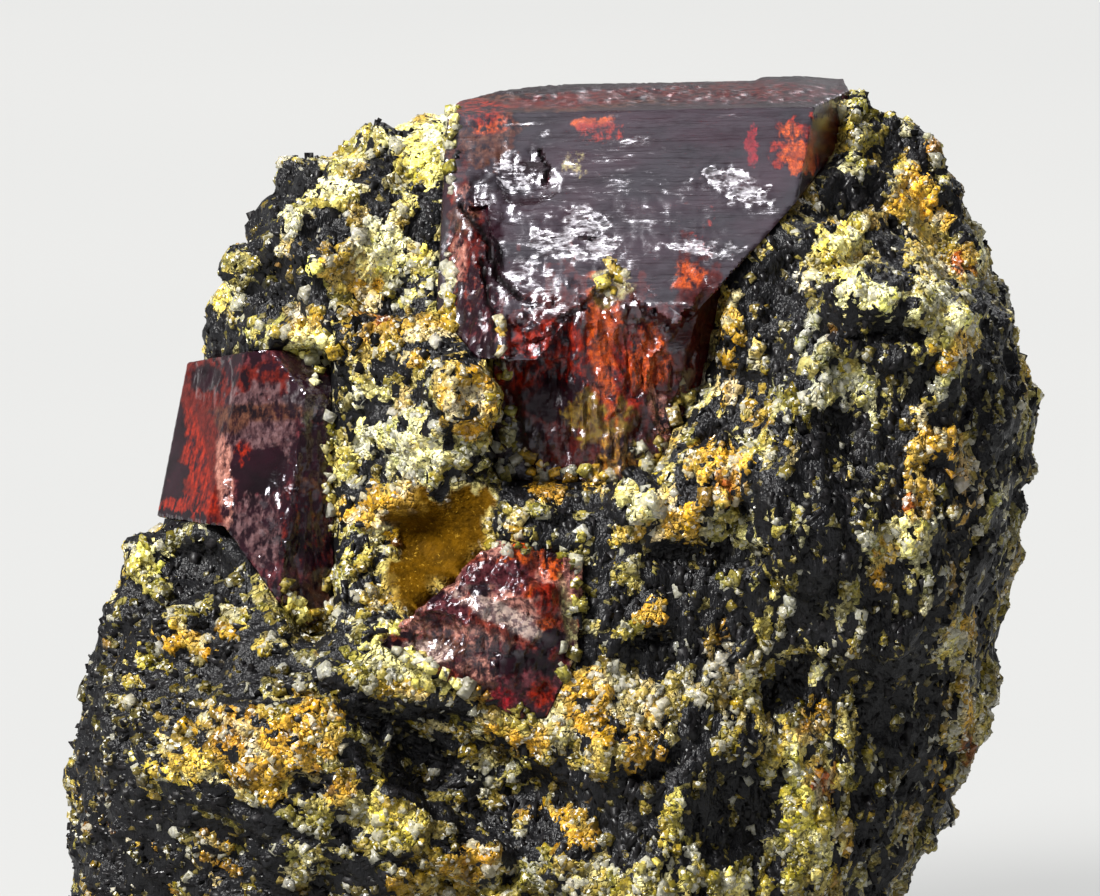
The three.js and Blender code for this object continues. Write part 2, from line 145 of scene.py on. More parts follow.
# ---------------------------------------------------------------- minerals on the display face
# An outline is an ellipse in the picture: centre x and y, half width and half height in pixels, and its turn
# in degrees where it isn't 0. All were placed one by one. These are the patches of each mineral.
PATCHES = {
    "mica": (
        (298, 180, 27, 12, 32), (312, 168, 12, 9), (256, 228, 11, 18, 30), (328, 230, 20, 15, 35),
        (379, 160, 13, 20), (397, 191, 15, 10), (423, 222, 14, 22), (268, 284, 28, 22), (298, 268, 14, 8),
        (327, 292, 20, 8), (334, 320, 6, 26), (249, 314, 8, 8), (268, 348, 16, 9), (296, 362, 20, 6),
        (225, 338, 7, 13), (390, 114, 13, 5), (211, 324, 6, 6), (203, 553, 52, 29, 6), (239, 586, 20, 9),
        (142, 534, 8, 20), (134, 612, 15, 24, 10), (348, 404, 8, 22), (381, 373, 8, 11),
        (376, 410, 13, 11), (420, 391, 6, 8), (376, 461, 7, 8), (348, 491, 10, 5), (440, 485, 7, 6),
        (333, 550, 8, 18), (358, 582, 8, 14), (348, 599, 14, 7), (297, 623, 8, 7), (256, 618, 7, 7),
        (284, 596, 7, 7), (444, 435, 4, 12), (407, 374, 10, 6), (570, 477, 4, 14), (565, 513, 17, 6, 30),
        (741, 277, 16, 12), (721, 368, 10, 8), (698, 411, 11, 4, 25), (714, 430, 28, 8, 22),
        (685, 482, 5, 5), (753, 492, 9, 26), (558, 530, 27, 9, 42), (599, 533, 8, 12), (595, 547, 14, 4),
        (700, 559, 54, 20), (644, 547, 15, 5), (656, 574, 14, 9), (679, 591, 14, 12), (591, 570, 8, 18),
        (609, 577, 8, 24), (623, 604, 20, 5, 20), (589, 642, 13, 16, 35), (654, 653, 23, 25),
        (685, 628, 15, 32), (700, 660, 18, 19), (703, 597, 16, 18), (746, 645, 14, 10), (706, 716, 24, 8),
        # The rows under the crest's overhang, near x 847 to 887 and y 322 to 342, stand for mica and also
        # paint the overhang's shade black.
        (753, 274, 24, 15), (785, 257, 14, 8), (888, 270, 24, 9, -6), (847, 322, 20, 13),
        (887, 322, 22, 12), (874, 342, 32, 15), (914, 327, 7, 10), (898, 300, 5, 10), (778, 300, 18, 9),
        (791, 357, 8, 12), (770, 381, 8, 8), (835, 421, 40, 13), (893, 438, 13, 40), (825, 477, 20, 15),
        (772, 478, 18, 13), (835, 517, 26, 17), (939, 339, 8, 8), (925, 376, 9, 14), (961, 405, 13, 24, 8),
        (990, 352, 20, 58, 8), (942, 498, 7, 40), (789, 561, 34, 17), (838, 552, 22, 22),
        (808, 618, 18, 40, 15), (838, 666, 10, 14), (777, 686, 27, 13), (96, 650, 10, 42, 10),
        (144, 622, 15, 20, 10), (269, 662, 27, 9, -4), (213, 673, 18, 10), (175, 703, 15, 6),
        # The thin rows along the crevice under the ledge, from x 297 to 430, stand for mica and also paint
        # the crevice's shade black.
        (297, 688, 32, 4, 2), (334, 686, 18, 4), (330, 643, 10, 7), (371, 649, 13, 7, -35),
        (384, 726, 46, 13, -26), (417, 764, 42, 26, -10), (430, 710, 50, 10, -14), (213, 796, 18, 13),
        (228, 774, 6, 14), (301, 787, 5, 14), (170, 820, 15, 30, 15), (218, 826, 14, 7, -30),
        (246, 829, 30, 14, -45), (274, 813, 8, 8), (290, 838, 22, 6, -8), (348, 830, 5, 9),
        (336, 880, 22, 14), (251, 868, 22, 24, -40), (129, 800, 8, 44, 6), (75, 850, 8, 26),
        (563, 753, 8, 5), (571, 776, 12, 5, 10), (543, 832, 16, 13), (520, 850, 14, 10),
        (617, 843, 27, 18), (655, 771, 27, 7, 28), (617, 804, 13, 18), (732, 800, 42, 48),
        (701, 719, 20, 8, 10), (765, 689, 16, 10), (663, 870, 20, 5), (706, 886, 10, 12),
        (770, 860, 20, 8), (460, 790, 20, 12), (866, 112, 12, 10), (889, 129, 14, 9), (920, 138, 5, 14),
        (932, 170, 8, 12), (947, 198, 4, 16), (973, 229, 8, 15, 10), (968, 276, 7, 7), (983, 294, 12, 15),
        (845, 190, 12, 12), (870, 240, 14, 8), (896, 640, 30, 60, 8), (880, 760, 26, 60, 10),
        (1000, 470, 16, 70, 4), (990, 610, 16, 60, 12), (930, 790, 12, 40, 16), (850, 840, 16, 30),
        (438, 676, 7, 6), (497, 747, 26, 8, -20), (262, 240, 14, 22, 20), (290, 188, 22, 10, 30),
        (228, 350, 34, 8), (106, 655, 16, 40, 12), (92, 775, 14, 18), (120, 735, 14, 14),
        (105, 868, 22, 30), (145, 880, 12, 20), (188, 690, 24, 9), (300, 664, 40, 8), (378, 874, 18, 22),
        (480, 822, 26, 12, -10), (520, 795, 18, 9), (450, 742, 12, 9), (638, 838, 20, 14),
        (702, 745, 9, 26, -10), (680, 780, 12, 8), (610, 600, 9, 28), (694, 580, 20, 10),
        (780, 325, 16, 34), (738, 378, 12, 10), (792, 385, 12, 16), (778, 425, 22, 10), (886, 365, 26, 12),
        (870, 468, 12, 40), (830, 492, 34, 12), (815, 216, 20, 9, 40), (890, 250, 11, 24),
        (896, 150, 14, 9), (912, 740, 14, 36, 8), (868, 815, 12, 26), (820, 640, 22, 8),
        (930, 575, 10, 20), (380, 152, 10, 10), (392, 192, 8, 8), (440, 800, 20, 8, -15),
        (600, 790, 20, 9), (560, 850, 12, 8), (195, 715, 10, 8), (850, 430, 20, 10), (226, 655, 30, 10),
        (262, 626, 14, 9), (240, 692, 34, 9), (110, 740, 14, 22, 10), (105, 800, 12, 20),
        (160, 868, 14, 14), (195, 880, 14, 14), (360, 860, 16, 10), (455, 838, 26, 8, -5),
        (546, 776, 12, 14), (590, 808, 24, 8), (735, 428, 26, 9, 15), (718, 618, 22, 9), (790, 704, 22, 8),
        (450, 430, 6, 8), (92, 700, 10, 40, 8),
    ),
    "lemon": (
        (390, 132, 20, 9), (420, 135, 22, 22), (348, 134, 13, 9), (317, 148, 22, 6, 18),
        (286, 220, 14, 17), (332, 192, 22, 11), (386, 232, 16, 14), (369, 259, 13, 12), (320, 264, 12, 9),
        (223, 299, 9, 12), (310, 337, 20, 11), (242, 337, 10, 12), (260, 188, 5, 10), (430, 180, 10, 30),
        (144, 557, 11, 9), (340, 462, 11, 12), (423, 257, 10, 10), (439, 281, 8, 7), (634, 498, 21, 22),
        (728, 296, 13, 14), (721, 410, 18, 9, 20), (741, 259, 12, 9), (825, 246, 30, 14),
        (848, 236, 14, 14), (806, 270, 18, 5), (847, 275, 17, 8), (845, 299, 16, 15), (879, 298, 16, 17),
        (905, 295, 10, 11), (917, 311, 8, 10), (775, 286, 16, 4, 35), (960, 315, 13, 12),
        (912, 538, 11, 19), (249, 640, 15, 11), (193, 760, 24, 11), (147, 765, 8, 22), (399, 821, 25, 33),
        (670, 799, 15, 16), (668, 838, 8, 15), (784, 752, 8, 40), (787, 790, 8, 24), (801, 828, 12, 8),
        (830, 855, 14, 15), (348, 662, 20, 10), (175, 777, 17, 9), (664, 500, 13, 13), (901, 170, 6, 6),
        (851, 156, 4, 8), (848, 99, 5, 13), (605, 282, 12, 10), (441, 130, 12, 22), (384, 250, 20, 26),
        (350, 285, 14, 10), (312, 345, 18, 12), (315, 390, 14, 14), (846, 248, 16, 13), (882, 300, 28, 10),
        (962, 322, 16, 13), (640, 510, 30, 11), (156, 562, 9, 20), (300, 606, 14, 11), (388, 640, 20, 20),
        (430, 676, 22, 7, -20), (190, 768, 22, 10), (795, 752, 14, 20), (800, 812, 10, 28),
        (680, 822, 9, 13), (1006, 670, 5, 20, 8), (305, 148, 18, 8, 25), (985, 250, 8, 20, -15),
    ),
    "cream": (
        (440, 128, 14, 24), (384, 236, 20, 18), (372, 262, 14, 14), (400, 652, 26, 16, -25),
        (434, 676, 24, 8, -25), (912, 538, 11, 17), (962, 322, 14, 12), (636, 500, 22, 20),
        (846, 246, 13, 11), (850, 296, 14, 14), (882, 298, 14, 15), (916, 308, 10, 10), (404, 430, 26, 14),
        (425, 458, 22, 12), (312, 346, 16, 10), (316, 388, 12, 14), (330, 190, 20, 9), (392, 130, 18, 8),
        (156, 556, 9, 14), (300, 604, 13, 9), (795, 752, 12, 16), (830, 850, 14, 14), (735, 884, 14, 8),
        (364, 436, 16, 12), (296, 220, 14, 14), (1004, 662, 5, 14, 8), (746, 684, 12, 10),
        (820, 668, 8, 8),
    ),
    "quartz": (
        (404, 427, 30, 16), (366, 440, 12, 9), (434, 379, 8, 8), (414, 448, 24, 20), (538, 505, 12, 9),
        (603, 515, 9, 8), (710, 388, 15, 11), (681, 666, 9, 9), (695, 611, 7, 7), (726, 591, 10, 9),
        (634, 687, 30, 14), (691, 691, 20, 13), (730, 672, 19, 14), (796, 296, 13, 13), (811, 338, 16, 22),
        (760, 345, 10, 16), (816, 381, 50, 9), (867, 397, 9, 9), (942, 295, 13, 9), (934, 274, 10, 6),
        (942, 386, 13, 11), (277, 643, 12, 7), (315, 667, 16, 8), (415, 654, 17, 7, -12),
        (397, 667, 14, 6), (292, 864, 22, 17), (353, 861, 12, 17), (364, 823, 10, 16), (300, 825, 16, 5),
        (433, 733, 8, 6), (415, 746, 8, 6), (479, 771, 12, 11), (635, 727, 12, 9), (642, 704, 24, 10),
        (691, 702, 10, 8), (604, 868, 22, 12), (579, 884, 16, 12), (535, 866, 10, 10), (737, 762, 12, 18),
        (752, 812, 10, 5), (729, 830, 14, 3), (760, 544, 9, 9), (801, 535, 10, 9), (920, 571, 9, 10),
        (947, 566, 8, 8), (782, 600, 10, 9), (818, 666, 9, 10), (959, 653, 13, 11), (739, 681, 17, 17),
        (889, 180, 9, 8), (909, 232, 10, 15), (88, 713, 6, 14), (820, 345, 12, 14), (690, 760, 20, 6, 20),
        (975, 470, 5, 26, 6), (1004, 520, 5, 40, 6), (905, 806, 6, 20, 8), (949, 733, 6, 14, 8),
        (600, 712, 20, 10), (560, 720, 14, 8), (410, 455, 34, 20), (885, 540, 22, 10), (825, 400, 22, 8),
        (570, 710, 24, 10), (350, 485, 12, 22), (505, 862, 30, 12), (735, 884, 16, 10), (640, 884, 14, 10),
        (955, 640, 14, 14), (600, 700, 30, 8), (968, 470, 9, 26, 6),
    ),
    "ochre": (
        (364, 291, 17, 16), (284, 264, 8, 7), (367, 316, 18, 13), (366, 508, 25, 18), (412, 494, 13, 14),
        (417, 513, 14, 12), (450, 388, 10, 10), (418, 355, 14, 12), (471, 390, 27, 24), (469, 424, 24, 15),
        (411, 499, 16, 16), (549, 488, 30, 12), (595, 484, 15, 10), (731, 350, 13, 24),
        (735, 388, 12, 6, 25), (717, 460, 32, 19), (728, 486, 20, 12), (517, 527, 13, 12),
        (664, 530, 40, 12), (654, 614, 18, 17), (583, 692, 26, 20), (733, 320, 9, 16), (760, 419, 14, 8),
        (850, 492, 8, 7), (968, 338, 9, 15), (947, 352, 14, 13), (922, 436, 19, 22), (905, 463, 12, 9),
        (913, 497, 17, 26), (959, 261, 13, 18), (995, 271, 7, 15, 10), (264, 750, 42, 27),
        (315, 713, 16, 10, -10), (239, 714, 22, 11), (259, 787, 20, 10), (302, 754, 16, 12),
        (335, 740, 10, 10), (188, 724, 20, 10), (333, 786, 22, 13), (348, 782, 8, 7),
        (213, 846, 11, 30, 20), (221, 878, 10, 10), (144, 830, 5, 30), (402, 690, 20, 6, -10),
        (522, 741, 30, 11), (573, 705, 16, 19), (594, 667, 12, 11), (645, 756, 21, 19), (601, 727, 26, 16),
        (558, 765, 10, 9), (528, 809, 18, 13), (510, 799, 8, 7), (561, 816, 14, 11), (594, 797, 10, 15),
        (477, 863, 34, 17, 8), (576, 843, 20, 18), (816, 714, 16, 11), (820, 782, 15, 16),
        (881, 581, 8, 9), (886, 561, 10, 9), (971, 627, 8, 10), (937, 777, 9, 9), (968, 704, 5, 22, 6),
        (909, 151, 8, 12), (904, 134, 8, 7), (932, 148, 6, 8), (951, 157, 8, 9), (963, 181, 8, 14),
        (930, 197, 10, 8), (940, 218, 18, 10, -10), (927, 211, 8, 8), (75, 765, 6, 16), (101, 816, 9, 26),
        (119, 866, 8, 20), (126, 662, 6, 18, 10), (721, 629, 10, 9), (213, 640, 30, 14),
        (175, 640, 24, 20), (170, 886, 12, 10), (1029, 360, 5, 14), (490, 690, 18, 8, -20),
        (806, 738, 10, 14), (548, 455, 20, 10), (680, 505, 24, 16), (300, 740, 30, 24), (918, 192, 16, 22),
        (945, 442, 14, 24), (490, 722, 14, 16), (640, 735, 13, 24), (838, 850, 18, 18), (940, 778, 9, 9),
        (395, 528, 16, 20), (395, 520, 20, 18), (290, 745, 34, 22), (415, 500, 18, 12), (900, 200, 14, 20),
    ),
    "rust": (
        (101, 816, 8, 22), (820, 784, 12, 12), (933, 148, 5, 7), (300, 643, 4, 4), (728, 487, 7, 6),
        (962, 180, 6, 10), (968, 745, 6, 14), (961, 262, 8, 10), (284, 264, 5, 4), (840, 335, 10, 4),
        (384, 320, 9, 6), (912, 500, 8, 10),
    ),
    "smooth": (
        (440, 545, 40, 56, 40), (472, 502, 30, 20), (412, 590, 16, 36, 38),
    ),
}
# Places where the rock is paler than its bands make it, or darker where the number is below 0.
LIFTS = {
    0.9: (
        (310, 350, 20, 18), (425, 458, 30, 24), (396, 520, 18, 20), (380, 645, 18, 18),
        (415, 676, 42, 20, -20), (850, 245, 20, 18), (925, 190, 18, 16), (908, 540, 20, 20),
        (780, 755, 20, 18), (805, 825, 18, 20), (730, 885, 28, 14), (645, 885, 26, 12), (150, 555, 16, 16),
        (820, 885, 30, 12),
    ),
    0.8: (
        (375, 250, 24, 30), (335, 275, 30, 16), (310, 385, 16, 14), (300, 600, 18, 24), (190, 770, 18, 14),
        (298, 745, 28, 16), (965, 330, 18, 20), (742, 688, 16, 16), (940, 772, 20, 14), (312, 370, 14, 40),
        (915, 160, 16, 14), (812, 278, 12, 12), (740, 888, 30, 10),
    ),
    0.7: (
        (345, 165, 22, 18), (360, 393, 16, 8), (500, 733, 24, 16, -20), (930, 235, 14, 26),
        (850, 472, 12, 20), (840, 848, 16, 24), (820, 668, 12, 10), (610, 876, 18, 14), (905, 828, 16, 24),
        (985, 718, 18, 22), (955, 645, 20, 18), (1002, 612, 10, 16), (1000, 500, 12, 24),
        (270, 768, 40, 16), (885, 302, 18, 12), (704, 388, 12, 18),
    ),
    0.6: (
        (285, 240, 14, 12), (480, 650, 40, 12, -20), (978, 255, 16, 36, -15), (638, 628, 14, 12),
        (634, 576, 14, 12), (310, 820, 14, 10), (570, 770, 12, 10), (410, 190, 10, 14), (345, 272, 34, 20),
        (390, 680, 16, 16), (365, 400, 14, 40), (170, 640, 24, 14), (890, 545, 30, 12), (385, 290, 16, 14),
        (402, 182, 10, 20), (240, 728, 40, 8, -8), (680, 315, 24, 10), (595, 768, 12, 12),
        (466, 858, 16, 12), (850, 352, 12, 14), (970, 730, 20, 26, -20),
    ),
    0.5: (
        (925, 342, 16, 16), (850, 740, 20, 40), (560, 700, 20, 14), (920, 215, 16, 30), (965, 330, 16, 18),
        (300, 370, 16, 40), (845, 130, 30, 16), (400, 518, 16, 14), (300, 742, 20, 8), (782, 772, 14, 12),
        (305, 345, 20, 16), (312, 395, 12, 14), (930, 340, 30, 16),
    ),
    0.4: (
        (720, 320, 20, 20), (460, 640, 30, 10), (650, 450, 14, 30, 20), (965, 510, 24, 12),
        (935, 335, 14, 20), (560, 850, 16, 14),
    ),
    0.25: (
        (850, 700, 60, 120),
    ),
    0.12: (
        (260, 735, 80, 50), (780, 480, 90, 150),
    ),
    0.1: (
        (350, 560, 30, 60),
    ),
    -0.3: (
        (930, 700, 14, 60),
    ),
    -0.4: (
        (718, 420, 22, 16), (80, 760, 14, 30), (412, 420, 26, 14), (850, 630, 40, 14),
        (105, 690, 14, 70, 8), (615, 615, 30, 10), (440, 790, 30, 14), (935, 155, 34, 16, -20),
        (770, 385, 20, 12), (285, 668, 30, 14), (952, 240, 20, 12),
    ),
    -0.5: (
        (334, 656, 14, 9), (345, 745, 24, 10), (742, 328, 26, 36), (692, 490, 36, 8), (625, 840, 20, 16),
        (500, 512, 46, 22), (95, 665, 16, 40), (190, 725, 60, 10), (380, 790, 14, 10), (275, 215, 24, 24),
        (355, 378, 26, 8), (300, 885, 90, 12), (500, 490, 30, 12), (900, 430, 12, 30), (325, 242, 12, 10),
        (428, 350, 18, 16), (285, 652, 26, 18), (825, 580, 24, 26), (318, 778, 16, 14), (225, 778, 16, 10),
        (170, 830, 24, 14), (608, 818, 18, 12), (805, 246, 16, 12), (832, 288, 12, 10),
    ),
    -0.6: (
        (355, 425, 28, 18), (245, 632, 28, 9), (230, 788, 20, 10), (410, 716, 14, 9), (825, 345, 18, 34),
        (775, 430, 20, 12), (822, 442, 18, 12), (885, 186, 10, 16), (200, 665, 40, 14), (700, 500, 16, 12),
        (268, 284, 26, 20), (690, 770, 20, 14, 30), (640, 795, 16, 12), (308, 180, 16, 12),
        (368, 325, 16, 12), (92, 650, 14, 30), (105, 695, 14, 14), (850, 465, 10, 40), (895, 510, 12, 18),
        (695, 640, 18, 18), (555, 795, 14, 12), (500, 765, 18, 12), (98, 670, 18, 40), (200, 612, 10, 20),
        (650, 795, 12, 10), (335, 238, 16, 12),
    ),
    -0.7: (
        (200, 350, 12, 10), (190, 592, 30, 10), (86, 740, 12, 22), (165, 685, 22, 10), (120, 872, 40, 24),
        (768, 486, 14, 14), (825, 628, 30, 14), (140, 530, 14, 12), (652, 670, 20, 8), (385, 205, 14, 10),
        (828, 180, 8, 20), (545, 545, 12, 12), (298, 180, 27, 12, 32), (626, 470, 26, 16, -30),
        (835, 700, 10, 50), (165, 528, 26, 12), (645, 842, 14, 14),
    ),
    -0.8: (
        (280, 300, 18, 16), (246, 212, 22, 20), (112, 658, 20, 24), (272, 672, 34, 12), (96, 815, 18, 20),
        (345, 884, 50, 18), (725, 372, 16, 12), (900, 162, 18, 12), (706, 290, 16, 8, 60),
        (470, 358, 14, 10), (735, 605, 18, 30, -20), (328, 230, 22, 15, 35), (880, 350, 12, 24),
        (608, 510, 24, 16),
    ),
    -0.9: (
        (136, 735, 16, 20), (800, 290, 20, 22),
    ),
    -1: (
        (742, 240, 30, 8, 50), (802, 172, 30, 8, 50),
    ),
}
# Lumps and pits: an outline with its turn, and rise in millimetres.
FORMS = (
    (634, 498, 24, 25, 0, 0.75),  # pale lump under the large crystal
    (471, 390, 30, 26, 0, 0.7), (469, 393, 8, 8, 0, -0.9),  # ochre lump with a hole
    (717, 460, 36, 22, 0, 0.6), (645, 755, 24, 22, 0, 0.6), (399, 821, 28, 36, 0, 0.6),
    (292, 864, 25, 20, 0, 0.5), (670, 799, 18, 18, 0, 0.5), (477, 863, 36, 20, 8, 0.5),
    (264, 750, 50, 34, 0, 0.5), (654, 614, 20, 19, 0, 0.5), (583, 692, 30, 24, 0, 0.4),
    (845, 292, 22, 18, 0, 0.9), (879, 298, 19, 20, 0, 0.9), (917, 308, 14, 12, 0, 0.6),
    (960, 315, 15, 14, 0, 0.7), (942, 295, 14, 10, 0, 0.5), (825, 246, 32, 16, 0, 0.5),
    (870, 335, 52, 18, 0, -1.0),  # overhang under the crest
    (203, 553, 50, 27, 6, -0.5), (912, 538, 12, 20, 0, 0.5), (922, 436, 20, 24, 0, 0.4),
    (297, 690, 36, 4, 2, -0.7), (345, 690, 26, 5, -20, -0.6), (384, 726, 46, 12, -26, -0.6),
    (710, 556, 56, 14, 0, -0.6), (654, 653, 24, 25, 0, -0.5), (286, 220, 16, 19, 0, 0.5),
    (298, 180, 27, 12, 32, -0.4), (328, 230, 20, 15, 35, -0.4), (268, 284, 26, 20, 0, -0.4),
    (366, 508, 27, 20, 0, 0.4), (404, 430, 34, 20, 0, 0.4), (147, 765, 10, 22, 0, 0.5),
    (193, 760, 26, 13, 0, 0.4), (732, 800, 40, 46, 0, -0.4), (655, 771, 28, 8, 28, -0.5),
    (558, 530, 26, 8, 42, -0.3), (714, 432, 28, 7, 22, -0.4), (418, 764, 40, 24, -10, -0.5),
)
# Places where the rock's outline stands out or in, in the same form.
EDGES = (
    (1008, 302, 20, 30, 0, 0.7), (1034, 505, 20, 24, 0, 0.6), (1042, 455, 12, 24, 0, -0.3),
    (1040, 345, 14, 20, 0, -0.4), (960, 790, 22, 50, -20, 0.3), (915, 865, 24, 30, -20, 0.5),
    (1010, 665, 12, 24, 0, -0.4), (300, 130, 24, 20, 30, -0.5), (380, 118, 26, 12, 10, 0.9),
    (285, 170, 18, 12, 30, 0.6), (240, 262, 10, 26, 15, 0.5), (325, 140, 34, 18, 20, -0.5),
    (1040, 372, 12, 16, 0, -0.5), (1030, 480, 14, 22, 0, 0.5), (985, 705, 12, 16, 0, 0.4),
    (200, 350, 10, 14, 0, 0.7), (876, 104, 14, 14, 0, -0.5), (1018, 345, 12, 22, 0, -0.5),
    (1032, 490, 14, 20, 0, 0.5), (938, 855, 16, 26, -20, 0.5), (940, 832, 20, 34, -22, 0.75),
    (370, 126, 18, 12, 20, 0.5), (138, 540, 12, 16, 0, 0.5), (62, 812, 10, 26, 0, -0.5),
    (66, 750, 10, 20, 0, 0.4), (972, 205, 12, 16, 0, -0.4),
)
FADE = 6  # the width of an ellipse's soft edge, pixels
MICA_GROWS = 3  # how much wider than its ellipse a patch of mica is, pixels
HOLLOW_FLOOR = -14  # how deep the smooth hollow's colour reaches


def patch_share(at, wobble, x, y, half_x, half_y, turn=0):
    """1 inside an ellipse of the picture, fading to 0 just outside it. wobble moves its edge."""
    c, s = math.cos(math.radians(turn)), math.sin(math.radians(turn))
    dx, dy = at[:, 0] - x, y - at[:, 1]
    reach = np.hypot((dx * c + dy * s) / half_x, (dy * c - dx * s) / half_y)
    edge = FADE / min(half_x, half_y)
    return 1 - smoothstep(reach + wobble, 1 - edge / 2, 1 + edge)


def painted(points, rows, wave, ragged):
    """For each row, its last value and its ellipse's share at each point, with a noisy edge."""
    at = pixels(points)
    wobble = ragged * noise(points, wave, 51) + 0.6 * ragged * noise(points, wave / 2.3, 52)
    for *outline, value in rows:
        yield value, patch_share(at, wobble, *outline)


def lift_of(points):
    """How much paler the rock is at each point, from 1 to -1."""
    rows = [(*outline, change) for change, outlines in LIFTS.items() for outline in outlines]
    lift = np.zeros(len(points))
    for change, share in painted(points, rows, 0.9, 0.3):
        lift += change * share
    return np.clip(lift, -1, 1) * front_share(points)


def shown_minerals(points, front):
    """How much of each mineral the patches show at each point."""
    at = pixels(points)
    wobble = 0.35 * noise(points, 1.3, 5)
    shown = {}
    for kind, outlines in PATCHES.items():
        share = np.zeros(len(points))
        grown = MICA_GROWS if kind == "mica" else 0
        for x, y, half_x, half_y, *turn in outlines:
            share = np.maximum(share, patch_share(at, wobble, x, y, half_x + grown, half_y + grown, *turn))
        shown[kind] = share * (points[:, 2] > HOLLOW_FLOOR) if kind == "smooth" else share * front
    return shown


def loose_minerals(points, front):
    """How much of each mineral the banding holds at each point, patches left out."""
    at = pixels(points)
    behind = 1 - front
    block = smoothstep(at[:, 0], 560, 720) * smoothstep(at[:, 1], 340, 470) * front
    foot = (1 - smoothstep(at[:, 0], 380, 560)) * smoothstep(at[:, 1], 600, 680) * front
    bands = noise(points, (9, 9, 0.9), 21) + 0.6 * noise(points, (5, 5, 0.45), 22)
    spots = noise(points, 1.4, 23)
    streaks = np.zeros(len(points))
    for share, turn, seed in ((1 - foot, STREAK_TURN, 35), (foot, FOOT_TURN, 36)):
        lined = turned(points, turn)
        finer = noise(lined, (1.4, 0.28, 0.6), seed + 9)
        streaks += share * (noise(lined, (3.2, 0.55, 1.0), seed) + 0.7 * finer)
    mica = 0.34 + 0.08 * behind + 0.26 * block + 0.03 * foot
    return {
        "mica": mica + 0.22 * bands + 0.20 * spots + 0.42 * streaks,
        "lemon": 0.25 - 0.12 * behind + 0.5 * noise(points, (3, 3, 1.5), 24),
        "cream": np.zeros(len(points)),
        "quartz": 0.15 + 0.15 * behind + 0.25 * block + 0.5 * noise(points, (2.5, 2.5, 1.2), 25),
        "ochre": 0.15 - 0.2 * block + 0.8 * noise(points, (6, 6, 2), 26),
        "rust": -0.3 + 0.9 * noise(points, (4, 4, 1.5), 27),
        "smooth": np.zeros(len(points)),
    }


def minerals(points):
    """How much of each mineral there is at each point, from 0 to 1."""
    front = front_share(points)
    shown = shown_minerals(points, front)
    pale = np.maximum.reduce([shown[kind] for kind in ("lemon", "quartz", "ochre", "cream", "smooth")])
    found = {}
    for kind, field in loose_minerals(points, front).items():
        loose = np.clip(field, 0, 1) * (0.9 * front + (1 - front))
        loose = loose * (1 - 0.75 * pale if kind == "mica" else 1 - shown["mica"])
        found[kind] = np.clip(np.maximum(shown[kind], loose), 0, 1)
    found["mica"] = np.clip(found["mica"] - 0.75 * lift_of(points), 0, 1) * (1 - shown["smooth"])
    return found


# The turn in degrees of the streaks of mica, and at the rock's foot on the left.
STREAK_TURN = 80
FOOT_TURN = -26
# The rock's own grains in each zone: the turn of their length in degrees, and their sizes along, across
# and through the banding, mm. The second zone starts right of and below RIGHT_ZONE in the picture, and is
# all of the back. The third is left of and below FOOT_ZONE.
GRAIN_ZONES = (
    (60, (0.80, 0.55, 0.55)),
    (82, (1.15, 0.34, 0.42)),
    (FOOT_TURN, (1.35, 0.42, 0.45)),
)
RIGHT_ZONE = (620, 350)
FOOT_ZONE = (470, 620)


def grain_cells(points):
    """The centre of the rock grain that holds each point, and four chances from 0 to 1 that belong to it."""
    at = pixels(points) + 45 * noise(points, 3, 81)[:, None]
    zone = np.zeros(len(points), int)
    zone[(at > RIGHT_ZONE).all(1)] = 1
    zone[(at[:, 0] < FOOT_ZONE[0]) & (at[:, 1] > FOOT_ZONE[1])] = 2
    zone[points[:, 2] < -4] = 1
    centres = np.empty_like(points)
    chances = np.empty((len(points), 4))
    for k, (turn, size) in enumerate(GRAIN_ZONES):
        own = zone == k
        c, s = math.cos(math.radians(turn)), math.sin(math.radians(turn))
        spin = np.array([[c, s, 0], [-s, c, 0], [0, 0, 1]])
        scaled = points[own] @ spin.T / size
        base = np.floor(scaled)
        least = np.full(len(scaled), np.inf)
        heart, home = np.zeros_like(scaled), np.zeros_like(scaled)
        for step in np.ndindex(3, 3, 3):
            cell = base + step - 1
            middle = cell + 0.5 + 0.42 * np.stack([lattice(cell, 90 + k + 10 * j) for j in range(3)], 1)
            far = ((scaled - middle) ** 2).sum(1)
            closer = far < least
            least[closer], heart[closer], home[closer] = far[closer], middle[closer], cell[closer]
        centres[own] = heart * size @ spin
        chances[own] = np.stack([lattice(home, 200 + k + 10 * j) for j in range(4)], 1) / 2 + 0.5
    return centres, chances


# The minerals' colours, linear, in the order that they are laid over feldspar.
COLOURS = {
    "feldspar": (0.60, 0.52, 0.19),
    "quartz": (0.60, 0.59, 0.43),
    "lemon": (0.92, 0.84, 0.26),
    "ochre": (0.70, 0.43, 0.070),
    "rust": (0.40, 0.12, 0.02),
    "cream": (0.98, 0.93, 0.50),
    "smooth": (0.110, 0.052, 0.0020),
}
MICA = (0.0040, 0.0037, 0.0038)
WHITE = np.array([0.86, 0.86, 0.74])
OLIVE = np.array([0.34, 0.32, 0.55])  # the shares of red, green and blue that an olive grain lacks
DOWNWARD_DIM = np.array([1, 1.15, 2.0])  # how strongly the darkening towards the bottom dims red, green and blue
# How much each mineral brightens its grains at most, and the span of its share that it does so over.
RICHES = {
    "cream": (1, 0.4, 0.8),
    "lemon": (0.8, 0.5, 0.9),
    "ochre": (0.6, 0.5, 0.9),
    "quartz": (0.5, 0.5, 0.9),
}


def colour_of(found, count):
    """The mean colour of a mix of minerals at each point, mica left out."""
    total = np.tile(np.array(COLOURS["feldspar"]), (count, 1))
    for kind, colour in list(COLOURS.items())[1:]:
        share = found[kind][:, None]
        total = total * (1 - share) + np.array(colour) * share
    return total


